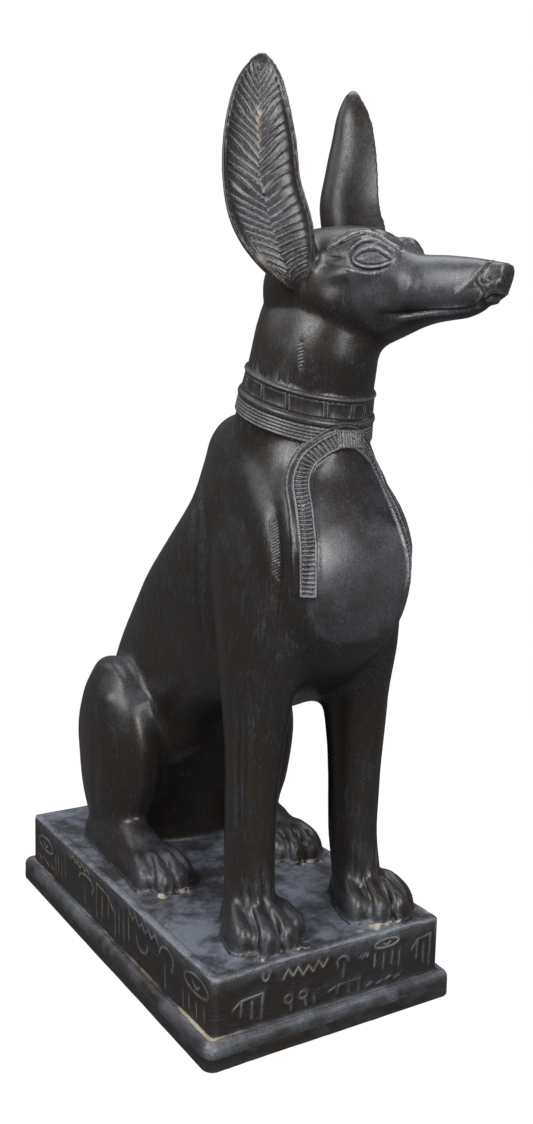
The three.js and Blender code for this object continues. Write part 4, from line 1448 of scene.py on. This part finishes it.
    def carve(self, relief: Relief) -> None:
        """Cuts the eyes, the lines round them, the mouth, the nostrils and the ears' hollows.

        Args:
            relief: The relief of the whole casting.
        """
        left, forward, up = self.own(relief.points).T
        upper, lower = (np.array(lid) + self.eye for lid in (self.upper_lid, self.lower_lid))
        top, bottom = (np.interp(forward, *rounded(line).T) for line in (upper, lower))
        middle, half = (top + bottom) / 2, np.maximum((top - bottom) / 2, 0.3)
        across = (forward - self.eye[0]) / 10.2
        inside = (np.abs(across) < 0.98) & (np.abs(left) > 14)
        share = np.clip(1 - ((up - middle) / half) ** 2, 0.0, 1.0)
        taper = np.clip(1 - across**2, 0.0, 1.0)
        relief.lift += np.where(inside & (share > 0), 1.4 * np.sqrt(share * taper) - 0.8, 0.0)
        relief.rub_and_highlight += np.where(inside & (share > 0), 0.12, 0.0)
        worn = np.exp(-(((forward - 56.0) / 22.0) ** 2) - ((up - 430.0) / 14.0) ** 2)
        relief.lift += 0.2 * worn * (drift(relief.points, 2.4, 31) + 0.6 * drift(relief.points, 1.4, 32))
        relief.rub_and_highlight += 0.35 * worn * np.clip(drift(relief.points, 5.0, 33) + 0.2, 0.0, 1.0)
        for line, *profile in (
            (upper, 0.8, -1.3, 0.0, 0.0),
            (lower, 0.8, -1.1, 0.0, 0.0),
            (upper + (0.0, 1.7), 1.25, 1.3, 1.4, 3.0),
            (lower + (0.0, -1.4), 1.1, 1.0, 1.2, 3.0),
            (self.fold, 1.1, -1.2, 0.0, 3.0),
            (np.array(self.fold) + (-0.2, 1.9), 1.1, 0.9, 1.2, 4.0),
            *self.face_lines,
        ):
            self._line(relief, line, *profile)
        self._mouth(relief, left, forward, up)
        for side in (1, -1):
            self._hollow(relief, side)

    def _mouth(self, relief: Relief, left: Array, forward: Array, up: Array) -> None:
        """Cuts the mouth line round the muzzle, its lower lip, and a comma at each nostril."""
        line = rounded(self.mouth)
        height = np.interp(forward, line[:, 0], line[:, 1])
        reach = ease(forward, 62.0, 78.0) * (forward < 140)
        low = (up > 380) & (up < 412)
        relief.lift -= np.where(low, 2.0 * reach * hump(up - height, 1.9), 0.0)
        relief.lift += np.where(low, 0.5 * reach * hump(up - height + 3.0, 2.2), 0.0)
        relief.rub_and_highlight += np.where(low, 0.25 * reach * hump(up - height + 3.0, 1.6), 0.0)
        for side in (1, -1):
            mine = np.flatnonzero((side * left > 2) & (forward > 106) & (up > 397))
            flat = np.stack([forward, up], -1)[mine]
            rough = drift(relief.points[mine], 2.6, 35) + 0.6 * drift(relief.points[mine], 1.3, 36)
            relief.lift[mine] += 0.28 * rough * ease(forward[mine], 117.0, 124.0)
            for path, half, height in self.nostril:
                relief.lift[mine] += height * hump(near_line(flat, rounded(path, 16))[0], half)
            relief.lift[mine] -= 1.4 * hump(np.linalg.norm(flat - (128.6, 412.6), axis=1), 1.9)
            dip = np.exp(-np.sum(((flat - (120.5, 408.5)) / (3.5, 4.5)) ** 2, axis=1))
            relief.lift[mine] -= 0.8 * dip * (0.7 + 0.6 * drift(relief.points[mine], 2.0, 34))

    def _hollow(self, relief: Relief, side: int) -> None:
        """Cuts the barbs of an ear's hollow side: they fall from both rims to a middle line.

        A barb that starts at height q on the rim lies at q - drop (1 - |share|)^1.5.

        Args:
            relief: The relief of the whole casting.
            side: 1 for the figure's left and -1 for its right.
        """
        inside, share, half = self.bowl(relief.points, relief.normals, side)
        mine = np.flatnonzero(inside)
        points, share, half = relief.points[mine], share[mine], half[mine]
        up = points[:, 2]
        drop = 7.0 + 9.0 * ease(up, 425.0, 480.0)
        wide = np.abs(share)
        waver = 0.34 * drift(points * (0.5, 0.5, 1.0), 11.0, 62)
        start = up + drop * np.clip(1 - wide, 0.0, 1.0) ** 1.35
        count = np.interp(start, self.barbs, np.arange(len(self.barbs)))
        count = count + np.where(share > 0, 0.42, 0.0) + waver
        gap = count - np.round(count)
        outer = np.interp(up, (422.0, 440.0, 462.0), (0.55, 0.76, 0.9))
        limit = np.where(share > 0, 0.8, outer) * (0.8 if side > 0 else 1.0)
        bounds = ease(wide, limit + 0.03, limit - 0.05) * ease(up, 412.0, 417.0) * ease(up, 542.0, 535.0)
        press = 0.75 + 0.4 * drift(points, 8.0, 63)
        cut = np.exp(-((gap / 0.13) ** 2))
        crest = np.exp(-(((gap - 0.24) / 0.1) ** 2))
        relief.lift[mine] += bounds * press * (0.35 * crest - 0.95 * cut)
        edge = hump((wide - 0.965) * half, 1.0) * ease(up, 410.0, 416.0) * ease(up, 544.0, 538.0)
        relief.lift[mine] -= 0.55 * edge
        pale = hump(share * half, 4.0) * ease(up, 452.0, 474.0) * ease(up, 526.0, 508.0)
        tuft = ease(up, 452.0, 425.0) * ease(-share, 0.1, 0.6) * ease(wide, 1.0, 0.85)
        relief.lift[mine] += 0.3 * tuft * np.sin((share * half * 1.0 + 0.35 * up) * 2.6)
        noise = drift(points, 9.0, 61)
        tips = hump((wide - limit + 0.06) * half, 2.6) * np.exp(-(((gap - 0.2) / 0.14) ** 2)) * (share > 0)
        relief.rub_and_highlight[mine] += bounds * (0.12 + 0.9 * crest) + 1.3 * tips + 0.9 * pale * crest
        relief.lime[mine] += (0.8 * pale * (1 - cut) + 0.5 * tuft) * np.clip(0.4 + noise, 0, 1)


@dataclass
class Casting:
    """The whole statue as one skin, from its forms to the finished piece."""

    plinth: Plinth = field(default_factory=Plinth)
    marks: Marks = field(default_factory=Marks)
    body: Body = field(default_factory=Body)
    neck: Neck = field(default_factory=Neck)
    band: BreastBand = field(default_factory=BreastBand)
    head: Head = field(default_factory=Head)
    feet: tuple[Foot, Foot] = (FORE_FOOT, HIND_FOOT)
    voxel: float = 1.15
    quick_voxel: float = 2.2
    crease_rounds: int = 160
    figure_rounds: int = 14
    most_faces: int = 194000

    def forms(self) -> list[Skin]:
        """Every closed form of the statue, overlapping where they meet."""
        feet = [skin for foot in self.feet for side in (1, -1) for skin in foot.skins(side)]
        return [*self.plinth.skins(), *self.body.skins(), *self.neck.skins(), *self.head.skins(), *feet]

    def joined(self) -> Skin:
        """The forms as one skin, by remeshing them together."""
        skins = self.forms()
        starts = np.cumsum([0] + [len(skin.points) for skin in skins[:-1]])
        loose = Skin(
            np.vstack([skin.points for skin in skins]),
            np.vstack([skin.faces + start for skin, start in zip(skins, starts)]),
        )
        rough = bpy.data.objects.new("rough_casting", loose.to_mesh("rough_casting"))
        bpy.context.scene.collection.objects.link(rough)
        remesh = rough.modifiers.new("one_skin", "REMESH")
        remesh.mode = "VOXEL"
        remesh.voxel_size = self.voxel * MILLIMETRE
        evaluated = rough.evaluated_get(bpy.context.evaluated_depsgraph_get())
        skin = Skin.from_mesh(evaluated.to_mesh())
        evaluated.to_mesh_clear()
        mesh = rough.data
        bpy.data.objects.remove(rough)
        bpy.data.meshes.remove(mesh)
        return skin

    def soften(self, skin: Skin) -> None:
        """Rounds the creases where forms meet, least at the feet and on the plinth.

        Args:
            skin: The joined skin, which is changed.
        """
        hollow, length = skin.hollow()
        up = skin.points[:, 2]
        inset = self.plinth.inset(skin.points)
        crease = ease(hollow / length, 0.10, 0.24)
        crease[(up < -1.0) | (inset < 3.0) & (up < 6.0)] = 0.0
        own = self.head.own(skin.points)
        fill = np.where(up > 402, 0.35, 1.0) * ease(up, 0.0, 45.0)
        fill = np.maximum(fill, 0.04)
        fill = np.where((own[:, 1] > 40) & (up > 380), 0.25, fill)
        fill = np.where((skin.points[:, 1] > -62) & (up > 290) & (up < 388), 0.12, fill)
        skin.relax(skin.spread(crease, 13) * fill, self.crease_rounds)
        skin.relax(np.where(up > 4.0, 0.8, 0.0) * np.where(up > 395.0, 0.6, 1.0), 5)
        skin.relax(np.where((up > 24.0) & (up < 395.0), 0.9, 0.0), self.figure_rounds)

    def refined(self, skin: Skin) -> None:
        """Splits faces until their edges are as short as the carving there wants.

        Args:
            skin: The softened skin, which is changed.
        """
        for _ in range(3):
            points = skin.points
            wanted = self.head.grain(points)
            feet = (foot.grain for foot in self.feet)
            for grain in (self.neck.grain, self.band.grain, self.plinth.grain, *feet):
                wanted = np.minimum(wanted, grain(points))
            wanted = np.minimum(wanted, self.marks.grain(points, self.plinth))
            corners = points[skin.faces]
            longest = np.linalg.norm(corners - np.roll(corners, 1, axis=1), axis=2).max(axis=1)
            chosen = longest > 1.45 * wanted[skin.faces].min(axis=1)
            if not chosen.any():
                break
            before = len(points)
            skin.refine(chosen)
            fresh = np.zeros(len(skin.points))
            fresh[before:] = 0.8
            fresh[(np.abs(skin.points[:, 2]) < 2.5) | (skin.points[:, 2] < -30)] *= 0.3
            skin.relax(fresh, 3)
        LOG.info("refined to %d faces", len(skin.faces))

    def carved(self, skin: Skin) -> Relief:
        """Lays the broad relief, then the fine carving, on the skin.

        Args:
            skin: The refined skin, which is changed.

        Returns:
            The relief of the fine carving, with its masks.
        """
        broad = Relief(skin.points, skin.normals())
        self.body.shape(broad)
        self.head.shape(broad)
        self.band.furrow(broad)
        uneven = 0.12 * drift(skin.points, 14.0, 71) + 0.05 * drift(skin.points, 5.0, 72)
        broad.lift += np.where(skin.points[:, 2] > 6.0, uneven, 0.0)
        skin.points = skin.points + broad.normals * broad.lift[:, None]
        fine = Relief(skin.points, skin.normals())
        self.neck.carve(fine)
        self.band.carve(fine)
        self.head.carve(fine)
        for foot in self.feet:
            foot.carve(fine)
        self.plinth.carve(fine)
        self.marks.carve(fine, self.plinth)
        skin.points = skin.points + fine.normals * fine.lift[:, None]
        return fine

    def build(self, finish: "Patina") -> bpy.types.Object:
        """Makes the finished piece, with its masks as attributes of its points.

        Args:
            finish: The finish of the casting.

        Returns:
            The piece, on the frame.
        """
        skin = self.joined()
        LOG.info("joined skin has %d faces", len(skin.faces))
        self.soften(skin)
        self.refined(skin)
        relief = self.carved(skin)
        hollow, length = skin.hollow()
        bend = skin.even(np.clip(hollow / length**1.5, -0.6, 0.6), 2)
        # Upward faces get a paler haze, partly dust and partly painted light from above, with 0.35 of it
        # lower than 20 mm under the block's top.
        low_damping = np.where(skin.points[:, 2] < -20.0, 0.35, 1.0)
        masks = {
            # hollow darkens the colour in creases and cuts: painted shade.
            "hollow": ease(bend, 0.015, 0.16),
            "proud": ease(-bend, 0.02, 0.17),
            "lime": np.clip(relief.lime, 0.0, 1.0),
            "rub_and_highlight": np.clip(relief.rub_and_highlight, 0.0, 1.5),
            "scratch": np.clip(relief.scratch, 0.0, 1.0),
            "dust_and_top_light": np.clip(skin.normals()[:, 2], 0.0, 1.0) * low_damping,
        }
        mesh = skin.to_mesh("jackal_casting")
        for name, values in masks.items():
            attribute = mesh.attributes.new(name, "FLOAT", "POINT")
            attribute.data.foreach_set("value", values.astype(np.float32))
        piece = bpy.data.objects.new("jackal_casting", mesh)
        bpy.context.scene.collection.objects.link(piece)
        thin = piece.modifiers.new("thin", "DECIMATE")
        thin.ratio = min(1.0, self.most_faces / len(skin.faces))
        evaluated = piece.evaluated_get(bpy.context.evaluated_depsgraph_get())
        thinned = bpy.data.meshes.new_from_object(evaluated)
        piece.modifiers.clear()
        piece.data = thinned
        bpy.data.meshes.remove(mesh)
        thinned.name = "jackal_casting"
        thinned.polygons.foreach_set("use_smooth", np.ones(len(thinned.polygons), bool))
        thinned.materials.clear()
        thinned.materials.append(finish.material())
        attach(piece, "root")
        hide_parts(NODE)
        LOG.info("finished piece has %d faces", len(thinned.polygons))
        return piece


class Socket:
    """An output socket that can be reckoned with: each operator adds a Math node."""

    def __init__(self, nodes: "Nodes", socket: bpy.types.NodeSocket) -> None:
        """Keeps the node maker and the socket."""
        self.nodes, self.socket = nodes, socket

    def _math(self, operation: str, *values: Any, clamp: bool = False) -> "Socket":
        """A Math node on this value and others."""
        settings = {"operation": operation, "use_clamp": clamp}
        node = self.nodes.add("ShaderNodeMath", settings, dict(enumerate(values)))
        return Socket(self.nodes, node.outputs[0])

    def __add__(self, other: Any) -> "Socket":
        """self + other."""
        return self._math("ADD", self, other)

    def __sub__(self, other: Any) -> "Socket":
        """self - other."""
        return self._math("SUBTRACT", self, other)

    def __mul__(self, other: Any) -> "Socket":
        """self * other."""
        return self._math("MULTIPLY", self, other)

    def __rsub__(self, other: Any) -> "Socket":
        """other - self."""
        return self._math("SUBTRACT", other, self)

    __radd__ = __add__
    __rmul__ = __mul__

    def clamp(self) -> "Socket":
        """The value kept between 0 and 1."""
        return self._math("ADD", self, 0.0, clamp=True)

    def step(self, low: float, high: float) -> "Socket":
        """A soft step from 0 at low to 1 at high."""
        node = self.nodes.add(
            "ShaderNodeMapRange",
            {"interpolation_type": "SMOOTHSTEP"},
            {"Value": self, "From Min": low, "From Max": high, "To Min": 0.0, "To Max": 1.0},
        )
        return Socket(self.nodes, node.outputs[0])


@dataclass
class Nodes:
    """Makes and links the nodes of one tree."""

    tree: bpy.types.NodeTree

    def add(self, kind: str, settings: dict[str, Any], inputs: dict[Any, Any]) -> bpy.types.Node:
        """Adds a node.

        Args:
            kind: The node's type.
            settings: Its settings, which are set first.
            inputs: The value or link of each socket, by name or number.

        Returns:
            The node.
        """
        node = self.tree.nodes.new(kind)
        for name, value in settings.items():
            setattr(node, name, value)
        for name, value in inputs.items():
            socket = node.inputs[name]
            if isinstance(value, Socket):
                self.tree.links.new(value.socket, socket)
            elif isinstance(value, bpy.types.NodeSocket):
                self.tree.links.new(value, socket)
            else:
                socket.default_value = value
        return node

    def attribute(self, name: str) -> Socket:
        """A value stored on the points of the piece."""
        node = self.add("ShaderNodeAttribute", {"attribute_name": name}, {})
        return Socket(self, node.outputs["Fac"])

    def noise(
        self, place: Any, scale: float, detail: float, rough: float, stretch: Any = (1, 1, 1)
    ) -> Socket:
        """Noise from 0 to 1 on places in metres, stretched by a factor on each axis."""
        factors = tuple(float(value) for value in stretch)
        mapped = self.add("ShaderNodeMapping", {}, {"Vector": place, "Scale": factors})
        node = self.add(
            "ShaderNodeTexNoise",
            {},
            {"Vector": mapped.outputs[0], "Scale": scale, "Detail": detail, "Roughness": rough},
        )
        return Socket(self, node.outputs["Fac"])

    def mix(self, share: Any, one: Any, other: Any) -> bpy.types.NodeSocket:
        """A colour from one to the other by a share."""
        node = self.add("ShaderNodeMix", {"data_type": "RGBA"}, {0: share, 6: one, 7: other})
        return node.outputs[2]


def linear(red: int, green: int, blue: int) -> tuple[float, float, float, float]:
    """A colour on a screen, 0 to 255, as light."""
    values = [((v / 255 + 0.055) / 1.055) ** 2.4 if v > 10 else v / 255 / 12.92 for v in (red, green, blue)]
    return (values[0], values[1], values[2], 1.0)


@dataclass(frozen=True)
class Patina:
    """Dark brown cast with a blue-grey haze, pale rubbed edges and cream deposit in its cuts, with painted
    shade in its hollows, painted light on upward faces and a painted highlight on the slab's front ledge.
    """

    name: str = "dark_patinated_cast"
    dark: tuple[int, int, int] = (18, 15, 14)
    brown: tuple[int, int, int] = (39, 31, 26)
    haze: tuple[int, int, int] = (110, 116, 128)
    rubbed: tuple[int, int, int] = (158, 158, 158)
    cream: tuple[int, int, int] = (198, 188, 170)
    rust: tuple[int, int, int] = (128, 94, 68)
    scratched: tuple[int, int, int] = (176, 172, 160)
    block_top: float = 0.055

    def material(self) -> bpy.types.Material:
        """The finish as a material.

        The haze gathers in blotches and on upward faces, partly as dust and partly as painted light
        from above, streaks run down the figure and along the block, rubbed edges and the painted
        highlight on the slab's front ledge are pale, hollows are darkened as painted shade, and the
        deposit is cream with a rusty border.

        Returns:
            The material.
        """
        material = bpy.data.materials.new(self.name)
        material.use_nodes = True
        tree = material.node_tree
        tree.nodes.clear()
        nodes = Nodes(tree)
        place = nodes.add("ShaderNodeTexCoord", {}, {}).outputs["Object"]
        axes = nodes.add("ShaderNodeSeparateXYZ", {}, {0: place})
        height = Socket(nodes, axes.outputs[2])
        figure = height.step(self.block_top - 0.001, self.block_top + 0.02)
        blotch = nodes.noise(place, 18.0, 5.0, 0.6)
        patch = nodes.noise(place, 85.0, 4.0, 0.65)
        speck = nodes.noise(place, 900.0, 3.0, 0.7)
        down = nodes.noise(place, 900.0, 3.0, 0.6, (1, 1, 0.06))
        along = nodes.noise(place, 900.0, 3.0, 0.6, (0.05, 0.05, 1))
        streak = figure * down + (1.0 - figure) * along
        proud, hollow = nodes.attribute("proud"), nodes.attribute("hollow")
        lime, rub_and_highlight = nodes.attribute("lime"), nodes.attribute("rub_and_highlight")
        scratch, dust_and_top_light = nodes.attribute("scratch"), nodes.attribute("dust_and_top_light")
        cloud = (blotch * 0.5 + patch * 0.35 + streak * 0.15).step(0.42, 0.62)
        block = 1.0 - figure
        # The veil is paler haze from blotches, the rubbed mask, raised places and upward faces, the last
        # partly dust and partly painted light from above.
        veil = 0.06 * cloud + 0.22 * rub_and_highlight + 0.1 * proud + (0.03 + 0.17 * cloud) * dust_and_top_light * (1.0 + 4.5 * block)
        mottle = nodes.noise(place, 420.0, 3.0, 0.7)
        hairs = streak.step(0.54, 0.68) * patch.step(0.36, 0.62) * 0.14 + mottle.step(0.54, 0.74) * 0.15
        haze = (veil * (0.2 + 1.4 * speck) + hairs * (0.4 + 0.6 * patch.step(0.4, 0.6))).clamp()
        dark = linear(*self.dark)
        # Hollows are darkened towards the dark colour: painted shade in creases and cuts.
        painted_shade = nodes.mix((hollow * 0.8 * (1.0 - 0.5 * rub_and_highlight)).clamp(), linear(*self.brown), dark)
        uneven = (blotch * 0.35 + patch * 0.35 + mottle * 0.3).step(0.42, 0.56) * 0.85
        deep = nodes.mix(uneven, painted_shade, dark)
        hazed = nodes.mix(haze, deep, linear(*self.haze))
        # worn and the veil take the rubbed mask, which also holds the painted highlight of the slab's front
        # ledge.
        worn = proud * (0.16 + 0.6 * rub_and_highlight) + 0.06 * rub_and_highlight
        brushed = (worn * (0.4 + 0.8 * streak) * speck.step(0.3, 0.62)).clamp()
        edged = nodes.mix(brushed, hazed, linear(*self.rubbed))
        cuts = nodes.mix((scratch * (0.7 + 0.5 * speck)).clamp(), edged, linear(*self.scratched))
        crust = (lime * (0.35 + 0.8 * patch + 0.5 * speck) - 0.2).step(0.05, 0.7)
        border = crust * (1.0 - crust) * 1.4
        rusty = nodes.mix(border.clamp(), cuts, linear(*self.rust))
        colour = nodes.mix((crust * (0.4 + 0.55 * speck)).clamp(), rusty, linear(*self.cream))
        smooth = 0.32 + 0.1 * cloud + 0.1 * block + 0.3 * crust
        roughness = (smooth + 0.4 * (speck - 0.5) + 0.25 * (mottle - 0.5)).clamp()
        grain = speck * 0.35 + streak * (0.2 + 0.3 * block) + patch * 0.4 + crust * 0.6
        bump = nodes.add("ShaderNodeBump", {}, {"Strength": 0.4, "Distance": 0.0005, "Height": grain})
        look = {"Base Color": colour, "Roughness": roughness, "Specular IOR Level": 0.5}
        shader = nodes.add("ShaderNodeBsdfPrincipled", {}, look | {"Normal": bump.outputs[0]})
        nodes.add("ShaderNodeOutputMaterial", {}, {0: shader.outputs[0]})
        return material


@dataclass
class Studio:
    """Camera at the photograph's place, soft lights and a white floor.

    Focal length, size and centre are in pixels of the photograph, the turns in radians, and a
    lamp is its name, azimuth and elevation in degrees, distance and size in metres, and watts.
    """

    focal: float = 1100.0
    width: float = 533.0
    height: float = 1124.0
    centre: tuple[float, float] = (266.5, 562.0)
    yaw: float = 0.5543
    pitch: float = 0.1376
    roll: float = 0.0233
    place: tuple[float, float, float] = (-0.38869, -0.69053, 0.39292)
    sensor: float = 36.0
    aim: tuple[float, float, float] = (0.0, 0.0, 0.3)
    lamps: tuple[tuple[str, float, float, float, float, float], ...] = (
        ("key", -80.0, 34.0, 1.7, 0.8, 21.0),
        ("front", -6.0, 21.0, 1.8, 0.9, 27.0),
        ("side", -140.0, 40.0, 2.2, 1.0, 6.0),
        ("top", 150.0, 74.0, 2.0, 1.3, 18.0),
    )
    floor_radius: float = 0.6
    sky: float = 0.12

    def camera(self) -> None:
        """Sets the camera: its back, right and up are turned by yaw, pitch and roll."""
        a, e, r = self.yaw, self.pitch, self.roll
        back = np.array([-math.sin(a) * math.cos(e), -math.cos(a) * math.cos(e), math.sin(e)])
        right = np.array([math.cos(a), -math.sin(a), 0.0])
        up = np.cross(back, right)
        level, risen = math.cos(r) * right + math.sin(r) * up, -math.sin(r) * right + math.cos(r) * up
        camera = bpy.data.cameras.new("camera")
        camera.sensor_fit = "HORIZONTAL"
        camera.sensor_width = self.sensor
        camera.lens = self.focal / self.width * self.sensor
        camera.shift_x = (self.width / 2 - self.centre[0]) / self.width
        camera.shift_y = (self.centre[1] - self.height / 2) / self.width
        camera.clip_start, camera.clip_end = 0.01, 50.0
        holder = bpy.data.objects.new("camera", camera)
        rotation = Matrix([Vector(axis) for axis in (level, risen, back)]).transposed()
        holder.matrix_world = Matrix.Translation(self.place) @ rotation.to_4x4()
        bpy.context.scene.collection.objects.link(holder)
        bpy.context.scene.camera = holder

    def light(
        self, name: str, azimuth: float, elevation: float, distance: float, size: float, watts: float
    ) -> None:
        """Puts a square soft light at an azimuth from -y towards +x, aimed at the figure."""
        az, el = math.radians(azimuth), math.radians(elevation)
        way = Vector((math.sin(az) * math.cos(el), -math.cos(az) * math.cos(el), math.sin(el)))
        lamp = bpy.data.lights.new(name, "AREA")
        lamp.size, lamp.energy = size, watts
        holder = bpy.data.objects.new(name, lamp)
        aim = way.to_track_quat("Z", "Y").to_matrix().to_4x4()
        holder.matrix_world = Matrix.Translation(Vector(self.aim) + way * distance) @ aim
        bpy.context.scene.collection.objects.link(holder)

    def floor(self) -> None:
        """A round white floor, small enough that the figure doesn't mirror it."""
        turn = np.linspace(0.0, 2 * math.pi, 64, endpoint=False)
        ring = self.floor_radius * np.stack([np.cos(turn), np.sin(turn), np.zeros_like(turn)], -1)
        mesh = bpy.data.meshes.new("floor")
        mesh.from_pydata(ring.tolist(), [], [list(range(len(ring)))])
        material = bpy.data.materials.new("white_floor")
        material.use_nodes = True
        shader = material.node_tree.nodes["Principled BSDF"]
        shader.inputs["Base Color"].default_value = (0.06, 0.06, 0.06, 1.0)
        nodes = Nodes(material.node_tree)
        seen = nodes.add("ShaderNodeLightPath", {}, {}).outputs["Is Camera Ray"]
        glow = nodes.mix(seen, (0.05, 0.05, 0.05, 1.0), (0.97, 0.97, 0.97, 1.0))
        material.node_tree.links.new(glow, shader.inputs["Emission Color"])
        shader.inputs["Emission Strength"].default_value = 1.0
        shader.inputs["Roughness"].default_value = 1.0
        mesh.materials.append(material)
        floor = bpy.data.objects.new("floor", mesh)
        bpy.context.scene.collection.objects.link(floor)

    def world(self) -> None:
        """A world that is white to the camera and lights the figure less."""
        strength = self.sky
        world = bpy.data.worlds.new("white_world")
        world.use_nodes = True
        nodes = Nodes(world.node_tree)
        seen = Socket(nodes, nodes.add("ShaderNodeLightPath", {}, {}).outputs["Is Camera Ray"])
        background = world.node_tree.nodes["Background"]
        background.inputs[0].default_value = (1.0, 1.0, 1.0, 1.0)
        world.node_tree.links.new((seen * (1.0 - strength) + strength).socket, background.inputs[1])
        bpy.context.scene.world = world
        bpy.context.scene.view_settings.view_transform = "Standard"

    def build(self) -> None:
        """Camera, lights, floor and world."""
        self.camera()
        for name, *values in self.lamps:
            self.light(name, *values)
        self.floor()
        self.world()


def main() -> None:
    """Builds the studio and the casting."""
    logging.basicConfig(level=logging.INFO, format="%(message)s")
    Studio().build()
    Casting().build(Patina())


if __name__ == "__main__":
    main()
